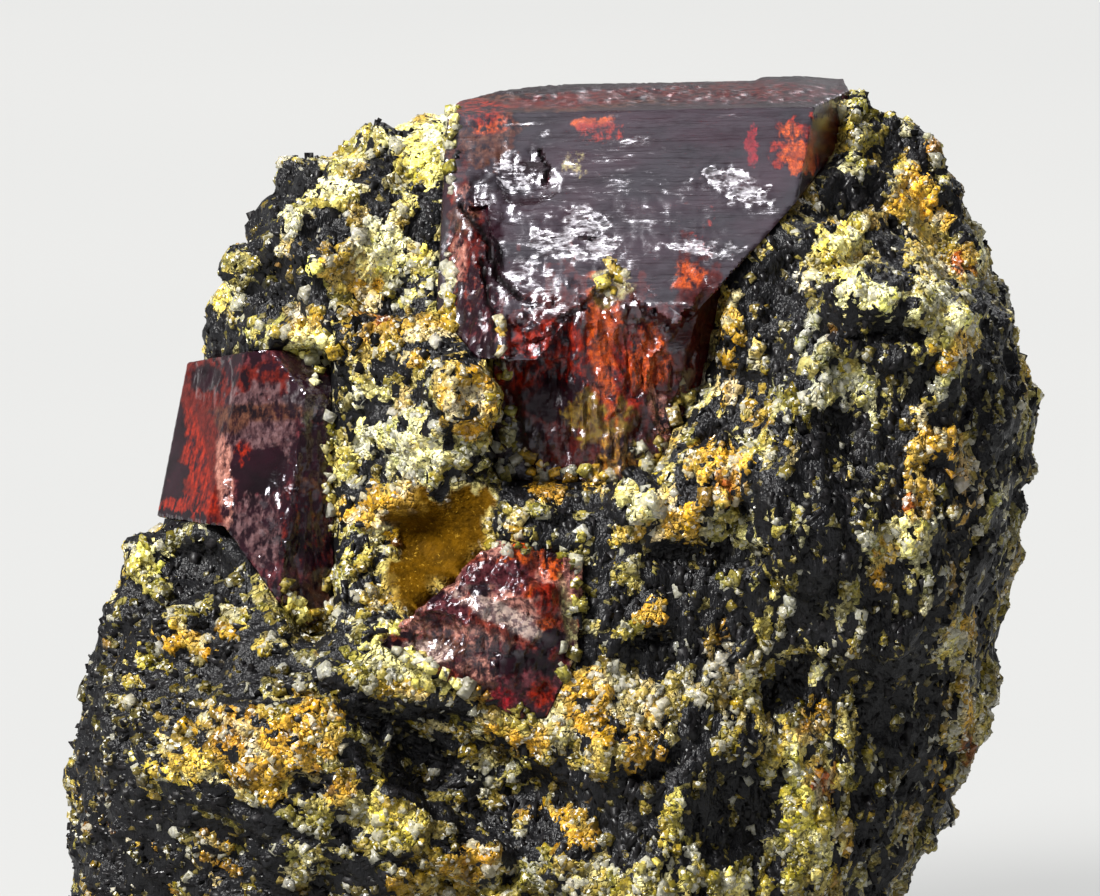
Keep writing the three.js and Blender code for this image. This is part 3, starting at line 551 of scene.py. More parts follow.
def rock(points):
    """Whether each point is mica, its pale colour, smoothness, a chance of its grain, and its minerals."""
    centres, chances = grain_cells(points)
    found = minerals(centres)
    rough = 1 - minerals(points)["smooth"]
    mica = chances[:, 0] < 0.05 + 0.86 * smoothstep(found["mica"], 0.26, 0.66)
    rich = [most * smoothstep(found[kind], *span) for kind, (most, *span) in RICHES.items()]
    rich = np.maximum.reduce(rich)
    tone = 0.50 + 0.55 * chances[:, 1] + 0.38 * rich
    tone = tone * (1 - 0.50 * smoothstep(found["mica"], 0.1, 0.8)) * (1 + 0.35 * lift_of(centres))
    tone = np.where(rough > 0.5, tone, 1)
    olive = ((chances[:, 2] < 0.30 - 0.22 * rich) * rough)[:, None] * OLIVE
    colour = colour_of(found, len(points)) * tone[:, None] * (1 - olive)
    whiter = ((chances[:, 2] > 0.88) * 0.6 * (1 - found["mica"]) * rough)[:, None]
    colour = colour * (1 - whiter) + WHITE * whiter
    # The rock grows darker and browner towards the bottom.
    downward_dim = 0.70 + 0.30 * smoothstep(points[:, 1] + 2 * noise(points, 5, 41), -14, 12)
    colour = colour * downward_dim[:, None] ** DOWNWARD_DIM
    smooth = 1 - rough
    return mica & (smooth < 0.3), colour, smooth, chances[:, 3], found


# ---------------------------------------------------------------- meshes
def new_object(name, vertices, faces):
    """vertices in the face frame's millimetres."""
    mesh = bpy.data.meshes.new(name)
    mesh.vertices.add(len(vertices))
    mesh.vertices.foreach_set("co", to_row(vertices).astype(np.float32).ravel())
    faces = np.asarray(faces, np.int32)
    mesh.loops.add(faces.size)
    mesh.loops.foreach_set("vertex_index", faces.ravel())
    mesh.polygons.add(len(faces))
    mesh.polygons.foreach_set("loop_start", np.arange(0, faces.size, faces.shape[1], dtype=np.int32))
    mesh.update(calc_edges=True)
    return in_scene(name, mesh)


def in_scene(name, data):
    """A new object in the scene that holds the data."""
    made = bpy.data.objects.new(name, data)
    bpy.context.scene.collection.objects.link(made)
    return made


def set_attribute(obj, name, values):
    values = np.asarray(values, np.float32)
    kind, key = ("FLOAT", "value") if values.ndim == 1 else ("FLOAT_VECTOR", "vector")
    obj.data.attributes.new(name, kind, "POINT").data.foreach_set(key, values.ravel())


def vertices_of(mesh):
    """The mesh's vertices, in the face frame."""
    co = np.empty(len(mesh.vertices) * 3, np.float32)
    mesh.vertices.foreach_get("co", co)
    return to_face(co.reshape(-1, 3))


def normals_of(mesh):
    no = np.empty(len(mesh.vertices) * 3, np.float32)
    mesh.vertex_normals.foreach_get("vector", no)
    return no.reshape(-1, 3).astype(float) @ AXES.T


def triangles_of(mesh):
    """The vertex numbers of each of the mesh's triangles."""
    mesh.calc_loop_triangles()
    corners = np.empty(len(mesh.loop_triangles) * 3, np.int32)
    mesh.loop_triangles.foreach_get("vertices", corners)
    return corners.reshape(-1, 3)


def place_vertices(mesh, points):
    mesh.vertices.foreach_set("co", to_row(points).astype(np.float32).ravel())
    mesh.update()


def remeshed(node, name, voxel_mm, smoothing=0, hug=False):
    """A finely meshed copy of a CAD node."""
    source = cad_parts[node]
    copy = in_scene(name + "_rough", source.data.copy())
    remesh = copy.modifiers.new("remesh", "REMESH")
    remesh.mode = "VOXEL"
    remesh.voxel_size = voxel_mm / 1000
    if smoothing:
        smooth = copy.modifiers.new("smooth", "SMOOTH")
        smooth.factor = 0.5
        smooth.iterations = smoothing
    if hug:
        wrap = copy.modifiers.new("hug", "SHRINKWRAP")
        wrap.target = source
        wrap.wrap_method = "NEAREST_SURFACEPOINT"
    graph = bpy.context.evaluated_depsgraph_get()
    mesh = bpy.data.meshes.new_from_object(copy.evaluated_get(graph))
    bpy.data.objects.remove(copy)
    mesh.name = name
    mesh.materials.clear()
    return in_scene(name, mesh)


def refine(obj, chosen):
    """Splits the chosen faces (a true or false for each) in four, and turns every face into triangles."""
    mesh = bmesh.new()
    mesh.from_mesh(obj.data)
    mesh.faces.ensure_lookup_table()
    edges = {e for face, take in zip(mesh.faces, chosen) if take for e in face.edges}
    ordered = sorted(edges, key=lambda e: e.index)
    bmesh.ops.subdivide_edges(mesh, edges=ordered, cuts=1, use_grid_fill=True)
    bmesh.ops.triangulate(mesh, faces=mesh.faces)
    mesh.to_mesh(obj.data)
    mesh.free()
    obj.data.update()


def crystal_tree():
    """A search tree over the CAD crystals' surfaces, in the face frame."""
    vertices, faces = [], []
    for name in CRYSTALS:
        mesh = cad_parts[name].data
        faces.append(triangles_of(mesh) + sum(len(v) for v in vertices))
        vertices.append(vertices_of(mesh))
    return BVHTree.FromPolygons(np.concatenate(vertices).tolist(), np.concatenate(faces).tolist())


def nearest(tree, points, reach):
    """For each point, the nearest place on the tree's surface and how far it is, or inf beyond reach."""
    place = np.array(points, float)
    far = np.full(len(points), np.inf)
    for i, p in enumerate(points.tolist()):
        found, _, _, distance = tree.find_nearest(p, reach)
        if found is not None:
            place[i] = found
            far[i] = distance
    return place, far


# ---------------------------------------------------------------- shader helpers
class Shader:
    """A material's node tree, with short calls to add nodes to it."""

    def __init__(self, name):
        self.material = bpy.data.materials.new(name)
        self.material.use_nodes = True
        self.tree = self.material.node_tree
        self.tree.nodes.clear()
        self.output = self.node("ShaderNodeOutputMaterial")
        self.main = self.node("ShaderNodeBsdfPrincipled")
        self.feed(self.output, Surface=self.main.outputs[0])
        self.place = self.node("ShaderNodeTexCoord").outputs["Object"]

    def node(self, kind, **settings):
        node = self.tree.nodes.new(kind)
        for key, value in settings.items():
            setattr(node, key, value)
        return node

    def put(self, value, socket):
        """Links another node's output to the socket, or sets the socket's own value."""
        if isinstance(value, bpy.types.NodeSocket):
            self.tree.links.new(value, socket)
        else:
            socket.default_value = value

    def feed(self, node, **inputs):
        """Puts values into a node's inputs, which are named with _ for each space."""
        for key, value in inputs.items():
            self.put(value, node.inputs[key.replace("_", " ")])

    def set(self, **inputs):
        self.feed(self.main, **inputs)

    def attribute(self, name, output="Fac"):
        return self.node("ShaderNodeAttribute", attribute_name=name).outputs[output]

    def math(self, operation, *values, kind="ShaderNodeMath"):
        node = self.node(kind, operation=operation)
        for value, socket in zip(values, node.inputs):
            self.put(value, socket)
        return node.outputs[0]

    def plus(self, a, b):
        return self.math("ADD", a, b)

    def times(self, a, b):
        return self.math("MULTIPLY", a, b)

    def vector(self, operation, *values):
        return self.math(operation, *values, kind="ShaderNodeVectorMath")

    def ramp(self, value, low, high, to_low=0.0, to_high=1.0):
        node = self.node("ShaderNodeMapRange", clamp=True)
        self.feed(node, Value=value, From_Min=low, From_Max=high, To_Min=to_low, To_Max=to_high)
        return node.outputs["Result"]

    def mix(self, share, a, b, kind="RGBA", blend="MIX"):
        """A mix of two colours, or of two vectors when kind is VECTOR."""
        node = self.node("ShaderNodeMix", data_type=kind, blend_type=blend)
        self.feed(node, Factor=share)
        sockets = [socket for socket in node.inputs if socket.type == kind]
        for value, socket in zip((a, b), sockets[-2:]):
            self.put((*value, 1) if isinstance(value, tuple) else value, socket)
        return next(socket for socket in node.outputs if socket.type == kind)

    def tinted(self, a, b):
        return self.mix(1.0, a, b, blend="MULTIPLY")

    def parts(self, colour):
        """A colour's red, green and blue, which serve as three chances."""
        split = self.node("ShaderNodeSeparateColor")
        self.put(colour, split.inputs[0])
        return split.outputs

    def stretched(self, scale, turn=(0, 0, 0)):
        node = self.node("ShaderNodeMapping")
        self.feed(node, Vector=self.place, Scale=scale, Rotation=turn)
        return node.outputs["Vector"]

    def noise(self, size_mm, detail, roughness=0.5, where=None, distortion=0.0, output="Fac"):
        node = self.node("ShaderNodeTexNoise")
        self.feed(node, Vector=where or self.place, Scale=1000 / size_mm, Detail=detail, Roughness=roughness,
                  Distortion=distortion)
        return node.outputs[output]

    def cells(self, size_mm, where=None, feature="F1", output="Color"):
        node = self.node("ShaderNodeTexVoronoi", feature=feature)
        self.feed(node, Vector=where or self.place, Scale=1000 / size_mm)
        return node.outputs[output]

    def bump(self, height, distance_mm, strength, **under):
        node = self.node("ShaderNodeBump")
        self.feed(node, Strength=strength, Distance=distance_mm / 1000, Height=height, **under)
        return node.outputs["Normal"]

    def about(self, centre, colours, spread):
        """Directions spread about centre, one for each colour."""
        return self.vector("NORMALIZE", self.vector("MULTIPLY_ADD", colours, (spread,) * 3, centre))

    def chipped(self, chips, spread):
        """The surface's own direction, turned a little in each chip."""
        shape = self.node("ShaderNodeNewGeometry").outputs["Normal"]
        return self.about(self.vector("ADD", shape, (-spread / 2,) * 3), chips, spread)


# ---------------------------------------------------------------- stage, light and camera
FLOOR_HALF = 2.5
FLOOR_TONES = ((0.100, 0.101, 0.100), (0.112, 0.112, 0.110))
FLOOR_GAIN = (5.3, 5.3, 5.3)  # how much brighter than its base colour the card glows
WORLD_FADE = {"From Min": -0.1, "From Max": 0.7, "To Min": 0.15, "To Max": 0.32}
AIM = (0, 0, 0.025)
# Each light's name, place, size, watts and colour.
LIGHTS = (
    ("overhead", (-0.15, -0.42, 1.05), (1.3, 1.1), 2.9, (0.93, 0.92, 1.04)),
    ("key", (-1.1, -0.75, 1.35), (0.55, 0.55), 98.0, (1.0, 0.985, 0.96)),
    ("back", (0.7, 1.3, 1.5), (1.0, 1.0), 26.0, (1, 1, 1)),
)


def make_stage():
    mesh = bpy.data.meshes.new("floor")
    corners = [(x * FLOOR_HALF, y * FLOOR_HALF, 0) for x, y in ((-1, -1), (1, -1), (1, 1), (-1, 1))]
    mesh.from_pydata(corners, [], [(0, 1, 2, 3)])
    look = Shader("floor_card")
    tone = look.mix(look.noise(160, 2), *FLOOR_TONES)
    look.set(Base_Color=tone, Roughness=0.9, Emission_Color=look.tinted(tone, FLOOR_GAIN))
    look.set(Emission_Strength=1.0, Specular_IOR_Level=0.1)
    mesh.materials.append(look.material)
    floor = in_scene("floor", mesh)


def make_lights():
    world = bpy.data.worlds.new("studio")
    bpy.context.scene.world = world
    world.use_nodes = True
    tree = world.node_tree
    background = tree.nodes["Background"]
    background.inputs["Color"].default_value = (1, 1, 1, 1)
    place = tree.nodes.new("ShaderNodeTexCoord")
    split = tree.nodes.new("ShaderNodeSeparateXYZ")
    fade = tree.nodes.new("ShaderNodeMapRange")
    tree.links.new(place.outputs["Generated"], split.inputs[0])
    tree.links.new(split.outputs["Y"], fade.inputs["Value"])
    for key, value in WORLD_FADE.items():
        fade.inputs[key].default_value = value
    tree.links.new(fade.outputs["Result"], background.inputs["Strength"])
    for name, place, size, watts, colour in LIGHTS:
        data = bpy.data.lights.new(name, "AREA")
        data.shape = "RECTANGLE"
        data.size, data.size_y = size
        data.energy = watts
        data.color = colour
        lamp = in_scene(name, data)
        lamp.location = place
        lamp.rotation_euler = (Vector(AIM) - Vector(place)).to_track_quat("-Z", "Y").to_euler()
    bpy.context.scene.view_settings.view_transform = "Standard"


def make_camera():
    data = bpy.data.cameras.new("camera")
    data.sensor_width = 36
    data.lens = data.sensor_width / (PICTURE[0] * MM_PER_PIXEL / DISTANCE)
    data.clip_end = 20
    camera = in_scene("camera", data)
    matrix = Matrix(AXES.T.tolist()).to_4x4()
    matrix.translation = Vector(to_row([0, CENTRE_V, DISTANCE]))
    camera.matrix_world = matrix
    bpy.context.scene.camera = camera


# ---------------------------------------------------------------- the rock's skin
SKIN_VOXEL = 0.56
SOCKET_REACH = 0.75  # how near to a crystal the skin is drawn onto it, mm
SOCKET_GAP = 0.03
FRONT_W = -5  # the display side's far edge


def split_front(skin):
    """Splits the faces that show on the display side."""
    mesh = skin.data
    front = (vertices_of(mesh)[:, 2] > FRONT_W) & (normals_of(mesh)[:, 2] > -0.35)
    corners = np.empty(len(mesh.loops), np.int32)
    mesh.loops.foreach_get("vertex_index", corners)
    starts = np.empty(len(mesh.polygons), np.int32)
    mesh.polygons.foreach_get("loop_start", starts)
    refine(skin, np.logical_or.reduceat(front[corners], starts))


def relief_of(points, normals):
    """How far the rock's lumps, grains and crumbs stand out at each point, mm."""
    at = pixels(points)
    front = front_share(points)
    wobble = noise(points, 1.5, 8)
    rise = np.zeros(len(points))
    for *outline, height in FORMS:
        rise += height * patch_share(at, 0.2 * wobble, *outline) * front
    for *outline, height in EDGES:
        rise += height * patch_share(at, 0.15 * wobble, *outline)
    mica, _, smooth, step, _ = rock(points)
    rise -= 0.28 * mica * (0.3 + 0.7 * smoothstep(normals[:, 2], 0.2, 0.8))
    rise += (0.22 * step - 0.11) * (1 - smooth)
    rise += 0.40 * fractal(points, (2.4, 2.8, 1.4), 3, 31) * (1 - 0.9 * smooth)
    rise += 0.05
    return rise


def make_skin():
    skin = remeshed("matrix", "rock_skin", SKIN_VOXEL, smoothing=2)
    split_front(skin)
    mesh = skin.data
    points, normals = vertices_of(mesh), normals_of(mesh)
    on_crystal, far = nearest(crystal_tree(), points, 3.0)
    clear = smoothstep(far, 0.3, 1.8)
    above = smoothstep(height_of(points), 0.05, 1.5)
    moved = points + normals * (relief_of(points, normals) * clear * above)[:, None]
    pull = far < SOCKET_REACH
    away = points - on_crystal
    length = np.maximum(np.linalg.norm(away, axis=1), 1e-6)
    seat = on_crystal + away / length[:, None] * SOCKET_GAP
    moved[pull] = seat[pull]
    place_vertices(mesh, moved)
    return skin


DARK_ROCK = (0.006, 0.006, 0.007)
# The smooth hollow's stains: a noise's size, detail and roughness, the span that it shows over, a colour.
STAINS = (
    ((0.9, 4, 0.75), (0.36, 0.62), (0.042, 0.020, 0.001)),
    ((0.24, 3, 0.7), (0.60, 0.70), (0.28, 0.16, 0.016)),
)
HOLLOW_GLOSS = (0.16, 0.09, 0.02)


def dress_skin(skin):
    mica, colour, smooth, _, _ = rock(vertices_of(skin.data))
    for name, values in (("mica", mica.astype(float)), ("smooth", smooth), ("pale", colour)):
        set_attribute(skin, name, values)
    look = Shader("gneiss_skin")
    squeeze = look.stretched((1, 1.6, 1), (-LEAN, 0, 0))
    chance = look.parts(look.cells(0.32, squeeze))[0]
    smooth = look.attribute("smooth")
    dark = look.math("SUBTRACT", look.ramp(look.attribute("mica"), 0.2, 0.8, 0.04, 0.97), chance)
    dark = look.times(look.ramp(dark, -0.03, 0.03), look.ramp(smooth, 0.2, 0.6, 1, 0))
    pale = look.attribute("pale", "Vector")
    stain = pale
    for texture, span, colour in STAINS:
        stain = look.mix(look.ramp(look.noise(*texture), *span), stain, colour)
    shaded = look.mix(smooth, speckled(look, pale, 0.57), stain)
    gloss = look.ramp(smooth, 0, 1, look.ramp(dark, 0, 1, 0.5, 0.38), 0.60)
    look.set(Base_Color=look.mix(dark, shaded, DARK_ROCK), Roughness=gloss)
    edge = look.cells(0.32, squeeze, "DISTANCE_TO_EDGE", "Distance")
    even = look.ramp(look.math("MAXIMUM", smooth, dark), 0, 1, 1, 0.08)
    rims = look.times(look.ramp(edge, 0, 0.25), even)
    fibres = look.noise(0.35, 2, 0.7, look.stretched((1.6, 1.6, 0.35)))
    crumbs = look.times(look.noise(0.3, 2, 0.6), look.ramp(smooth, 0, 1, 0.9, 1.0))
    height = look.plus(look.plus(rims, crumbs), look.times(fibres, dark))
    look.set(Normal=look.bump(height, 0.14, 0.9))
    look.set(Specular_Tint=look.mix(smooth, (1.0, 1.0, 1.0), HOLLOW_GLOSS), Specular_IOR_Level=0.2)
    skin.data.materials.append(look.material)
    skin.data.polygons.foreach_set("use_smooth", [True] * len(skin.data.polygons))


STAIN_TINT = (0.80, 0.66, 0.26)
PALE_SPECK = (0.88, 0.88, 0.80)
DARK_PIT = (0.012, 0.011, 0.007)


def speckled(look, tint, dark_share):
    """The tint of a sugary mineral, with clouds, stains, and pale and dark specks of its crystals' size."""
    chance, tone, _ = look.parts(look.cells(0.19))
    cloud = look.noise(0.55, 2, 0.72)
    lit = look.ramp(look.plus(look.times(tone, 0.45), cloud), 0.44, 1.04, 0.42, 1.55)
    gain = look.node("ShaderNodeCombineColor")
    for socket in gain.inputs[:3]:
        look.put(lit, socket)
    shaded = look.tinted(tint, gain.outputs[0])
    stain = look.ramp(look.noise(1.1, 2, 0.7), 0.50, 0.66, 0, 0.8)
    shaded = look.mix(stain, shaded, look.tinted(shaded, STAIN_TINT))
    shaded = look.mix(look.ramp(chance, 0.92, 0.95, 0, 0.55), shaded, PALE_SPECK)
    pits = look.ramp(look.noise(0.33, 2, 0.75), dark_share, dark_share + 0.06, 0, 0.9)
    return look.mix(pits, shaded, DARK_PIT)


# ---------------------------------------------------------------- grains
def cut_block(rng, half, cuts, depth):
    """A block with some of its corners cut off by planes: its vertices, and its faces as triangles."""
    mesh = bmesh.new()
    bmesh.ops.create_cube(mesh, size=2)
    bmesh.ops.scale(mesh, vec=half, verts=mesh.verts)
    for _ in range(cuts):
        normal = Vector(rng.normal(size=3) * np.array(half)).normalized()
        reach = max(v.co.dot(normal) for v in mesh.verts)
        parts = mesh.verts[:] + mesh.edges[:] + mesh.faces[:]
        cut = bmesh.ops.bisect_plane(mesh, geom=parts, plane_co=normal * reach * rng.uniform(*depth),
                                     plane_no=normal, clear_outer=True)
        edges = [e for e in cut["geom_cut"] if isinstance(e, bmesh.types.BMEdge)]
        bmesh.ops.holes_fill(mesh, edges=edges)
    bmesh.ops.dissolve_degenerate(mesh, dist=0.02, edges=mesh.edges[:])
    bmesh.ops.triangulate(mesh, faces=mesh.faces[:])
    bmesh.ops.recalc_face_normals(mesh, faces=mesh.faces[:])
    mesh.verts.index_update()
    vertices = np.array([v.co[:] for v in mesh.verts])
    faces = np.array([[v.index for v in f.verts] for f in mesh.faces])
    mesh.free()
    return vertices, faces


TRIES = 9  # random places tried in each cell of the scatter
NEAR_HEART = 0.62  # how far from its cell's heart a place may be, in spacings


def scatter(carrier, spacing, wanted, seed):
    """Places on an object about one spacing apart, their outward directions, and the random source used."""
    rng = np.random.default_rng(seed)
    corners = triangles_of(carrier.data)
    points, normals = vertices_of(carrier.data), normals_of(carrier.data)
    corners = corners[wanted(points, normals)[corners].all(1)]
    a, b, c = (points[corners[:, k]] for k in range(3))
    areas = np.linalg.norm(np.cross(b - a, c - a), axis=1) / 2
    count = int(areas.sum() / spacing**2 * TRIES)
    owner = rng.choice(len(corners), size=count, p=areas / areas.sum())
    share = rng.random((count, 2))
    share = np.where(share.sum(1, keepdims=True) > 1, 1 - share, share)
    weights = np.column_stack([1 - share.sum(1), share])[:, :, None]
    at = (points[corners[owner]] * weights).sum(1)
    out = (normals[corners[owner]] * weights).sum(1)
    cell = np.floor(at / spacing)
    heart = cell + 0.5 + 0.36 * np.stack([lattice(cell, seed + k) for k in range(3)], 1)
    off = np.linalg.norm(at / spacing - heart, axis=1)
    key = (cell[:, 0] * 4096 + cell[:, 1]) * 4096 + cell[:, 2]
    order = np.lexsort((off, key))
    best = order[np.r_[True, np.diff(key[order]) != 0]]
    best = best[off[best] < NEAR_HEART]
    return at[best], out[best] / np.linalg.norm(out[best], axis=1, keepdims=True), rng


def turns(normal, along):
    """Rotation matrices whose third column is normal and whose first is nearest to along."""
    third = normal / np.linalg.norm(normal, axis=1, keepdims=True)
    second = np.cross(third, along)
    second /= np.maximum(np.linalg.norm(second, axis=1, keepdims=True), 1e-9)
    first = np.cross(second, third)
    return np.stack([first, second, third], 2)


def build_grains(name, templates, rng, look, own, places, rotations, sizes, tints, glosses):
    """One mesh of many small closed blocks: those of the given ones that own picks."""
    places, rotations, sizes = places[own], rotations[own], sizes[own]
    choice = rng.integers(len(templates), size=len(places))
    vertices, faces, tint, gloss = [], [], [], []
    start = 0
    for k, (shape, triangles) in enumerate(templates):
        some = np.flatnonzero(choice == k)
        scaled = shape[None] * sizes[some][:, None]
        placed = np.einsum("nij,nvj->nvi", rotations[some], scaled) + places[some][:, None]
        vertices.append(placed.reshape(-1, 3))
        base = start + np.arange(len(some))[:, None, None] * len(shape)
        faces.append((triangles[None] + base).reshape(-1, 3))
        tint.append(np.repeat(tints[some], len(shape), 0))
        gloss.append(np.repeat(glosses[some], len(shape), 0))
        start += len(some) * len(shape)
    made = new_object(name, np.concatenate(vertices), np.concatenate(faces))
    set_attribute(made, "tint", np.concatenate(tint))
    set_attribute(made, "gloss", np.concatenate(gloss))
    made.data.materials.append(look)
    return made


def grain_look(name, clouds=None, glass=0.0, ior=1.5, sparkle=0.6):
    """clouds are how far those inside a grain dim and lift its tint. Without them the grain is sugary."""
    look = Shader(name)
    tint = look.attribute("tint", "Vector")
    if clouds:
        low, high = (look.tinted(tint, gain) for gain in clouds)
        look.set(Base_Color=look.mix(look.ramp(look.noise(0.22, 2, 0.72), 0.38, 0.62), low, high))
    else:
        look.set(Base_Color=speckled(look, tint, 0.585))
    look.set(Roughness=look.attribute("gloss"), IOR=ior, Transmission_Weight=glass)
    look.set(Normal=look.chipped(look.cells(0.14), sparkle))
    return look.material


GRAIN_FRONT_W = -5.5
LOWEST_GRAIN = 0.5  # the height over the flat cut, mm
# Where grains of the rock lie over the crystals.
COVERS = (
    (600, 486, 100, 9, -4), (520, 482, 22, 10), (498, 440, 6, 40), (502, 350, 3, 30),
    (694, 420, 8, 36, 16), (676, 462, 22, 10, -40), (616, 272, 9, 8), (606, 282, 6, 9), (590, 474, 10, 8),
    (648, 474, 14, 8), (315, 632, 34, 22), (336, 590, 8, 22), (296, 606, 8, 22, 30), (332, 470, 4, 40),
    (250, 590, 8, 22, 30), (412, 660, 26, 6, -10), (470, 690, 30, 5, -24), (512, 712, 20, 6),
    (392, 622, 8, 12, 40), (578, 600, 4, 46, 4), (566, 680, 5, 26, 14), (520, 548, 34, 4, -8),
    (845, 112, 6, 14), (516, 468, 26, 18), (508, 440, 9, 30), (556, 482, 40, 12, -4),
    (690, 436, 14, 34, 14), (664, 470, 30, 14, -30), (600, 490, 100, 12, -4), (322, 360, 14, 15),
    (304, 350, 14, 6, -20), (452, 150, 3, 34), (449, 300, 4, 30), (470, 360, 20, 7),
)


def faces_front(points, normals):
    return (points[:, 2] > GRAIN_FRONT_W) & (normals[:, 2] > -0.4)


def on_front(points, normals):
    return faces_front(points, normals) & (height_of(points) > LOWEST_GRAIN)


def on_back(points, normals):
    return ~faces_front(points, normals) & (height_of(points) > LOWEST_GRAIN)


def covered(points, normals):
    """Where the rock's grains lie over the crystals."""
    share = np.zeros(len(points))
    for _, own in painted(points, [(*outline, 1) for outline in COVERS], 0.6, 0.5):
        share = np.maximum(share, own)
    return (share > 0.5) & (points[:, 2] > -3) & (normals[:, 2] + normals[:, 1] > -0.2)


CLEARANCE = (0.22, 0.2)  # how far from the crystals grains of the rock stay: mm, and spacings
# Each layer's name, where it lies, spacing, least and most size in spacings, and deepest and highest seat.
LAYERS = (
    ("small_front", on_front, 0.38, (0.50, 1.0), (-1.0, -0.62)),
    ("large_front", on_front, 0.9, (0.28, 0.58), (-1.0, -0.62)),
    ("back", on_back, 0.62, (0.48, 0.90), (-1.0, -0.5)),
    ("over_crystals", covered, 0.36, (0.40, 1.15), (-0.6, 0.1)),
)
FELDSPAR_GAIN = 0.80
FELDSPAR_DEPTHS = np.array([1.10, 1.13, 1.35])  # powers that deepen the grains' red, green and blue


def layer_places(name, where, spacing, skin, crystals):
    """A layer's places, their outward directions and its random source."""
    if where is covered:
        parts = [scatter(crystal, spacing, where, SEED + k) for k, crystal in enumerate(crystals)]
        at, out = (np.concatenate([part[k] for part in parts]) for k in (0, 1))
        return at, out, parts[0][2]
    at, out, rng = scatter(skin, spacing, where, SEED + len(name))
    free = nearest(crystal_tree(), at, 1.0)[1] > CLEARANCE[0] + CLEARANCE[1] * spacing
    return at[free], out[free], rng


FOOT_ALONG = np.array([1.6, -0.9, 0])  # how the blades' length turns at the rock's foot on the left


def mica_blades(name, templates, look, rng, at, out, spacing, mica):
    """A layer's loose blades of mica, along the streaks. A few flash in the key light."""
    count = len(at)
    mica = mica & (rng.random(count) < 0.5)
    normal = np.array([0, 0, 1]) + rng.normal(size=(count, 3)) * 0.22
    flash = rng.random(count) < 0.06
    normal[flash] = np.array(TILT) + rng.normal(size=(flash.sum(), 3)) * 0.06
    along = np.array([0, 1, 0]) + rng.normal(size=(count, 3)) * 0.4
    seen = pixels(at)
    along[(seen[:, 0] < 480) & (seen[:, 1] > 620)] += FOOT_ALONG
    facing = np.abs(out[:, 2])[:, None]
    size = spacing * rng.uniform(0.7, 1.6, count)[:, None] * (0.35 + 0.65 * facing) * min(1, 0.5 / spacing)
    shade = np.array(MICA) * rng.uniform(0.5, 2.5, count)[:, None]
    places = at - out * (0.03 + 0.35 * size * (1 - facing))
    gloss = rng.uniform(0.2, 0.5, mica.sum())
    return build_grains(f"biotite_{name}", templates, rng, look, mica, places, turns(normal, along), size,
                        shade[mica], gloss)


def blocks(rng, count, widths, heights, cuts, depth):
    """Blocks of one kind that grains are copied from, with widths and heights as shares of their length."""
    made = []
    for _ in range(count):
        half = (1, *(span if isinstance(span, float) else rng.uniform(*span) for span in (widths, heights)))
        made.append(cut_block(rng, half, cuts, depth))
    return made


def make_grains(skin, crystals):
    rng = np.random.default_rng(SEED)
    small = blocks(rng, 24, (0.6, 1), (0.45, 0.9), 2, (0.5, 0.8))
    large = blocks(rng, 16, (0.75, 1), (0.7, 1), 5, (0.6, 0.85))
    blades = blocks(rng, 16, (0.25, 0.5), 0.07, 2, (0.6, 0.9))
    cloudy = grain_look("feldspar", sparkle=1.0)
    clear = grain_look("quartz", ((0.8, 0.78, 0.6), (1.0, 1.0, 1.0)), glass=0.6, ior=1.54, sparkle=0.9)
    black = grain_look("biotite", ((0.4, 0.4, 0.4), (1.6, 1.6, 1.7)), ior=1.25, sparkle=0.12)
    pieces = []
    for name, where, spacing, scale, seat in LAYERS:
        at, out, rng = layer_places(name, where, spacing, skin, crystals)
        count = len(at)
        mica, colour, smooth, _, found = rock(at)
        mica = mica ^ (rng.random(count) < np.where(mica, 0.05, 0.03))
        mica &= smooth < 0.1
        bare = smooth > 0.1
        if name == "large_front":
            bare |= rng.random(count) < 0.45
        pale = ~mica & ~bare
        size = spacing * rng.uniform(*scale, count)[:, None] * rng.uniform(0.8, 1.15, (count, 3))
        if where is on_front:
            size = size * (0.55 + 0.45 * np.abs(out[:, 2]))[:, None]
        colour = colour * rng.uniform(0.72, 1.12, count)[:, None]
        gloss = rng.uniform(0.12, 0.6, count)
        places = at + out * (rng.uniform(*seat, count) * size.mean(1))[:, None]
        spin = turns(rng.normal(size=(count, 3)), rng.normal(size=(count, 3)))
        glassy = rng.random(count) < 0.25 + 0.45 * found["quartz"] - 0.2 * found["ochre"]
        templates = large if name == "large_front" else small
        own = pale & ~glassy
        tints = FELDSPAR_GAIN * colour[own] ** FELDSPAR_DEPTHS
        pieces.append(build_grains(f"feldspar_{name}", templates, rng, cloudy, own, places, spin, size,
                                   tints, gloss[own]))
        own = pale & glassy
        tints = 0.42 + 0.52 * np.sqrt(colour[own])
        pieces.append(build_grains(f"quartz_{name}", templates, rng, clear, own, places, spin, size,
                                   tints, gloss[own]))
        if name != "large_front":
            pieces.append(mica_blades(name, blades, black, rng, at, out, spacing, mica))
    return pieces


# ---------------------------------------------------------------- the crystals
# The colours that the light brings out of the glass, linear: its own dark reds and browns, and the painted
# glow of light caught inside it.
GLASS = {
    "night": (0.022, 0.007, 0.010),
    "maroon": (0.105, 0.013, 0.010),
    "crimson": (0.42, 0.012, 0.022),
    "red": (0.46, 0.030, 0.011),
    "orange": (0.80, 0.125, 0.018),
    "amber": (0.60, 0.30, 0.05),
    "ochre": (0.32, 0.20, 0.03),
    "salmon": (0.70, 0.30, 0.24),
    "ruby": (0.20, 0.020, 0.014),
    "brick": (0.36, 0.065, 0.042),
    "plum": (0.16, 0.035, 0.045),
    "mauve": (0.22, 0.115, 0.125),
    "brown": (0.17, 0.065, 0.040),
    # The grey is a painted reflection on the left crystal's upper right facet.
    "grey": (0.22, 0.18, 0.20),
    "crust": (0.62, 0.54, 0.26),
    # The pearl is pale crust, and along the broken crystal's ridge a painted highlight.
    "pearl": (0.80, 0.58, 0.50),
}
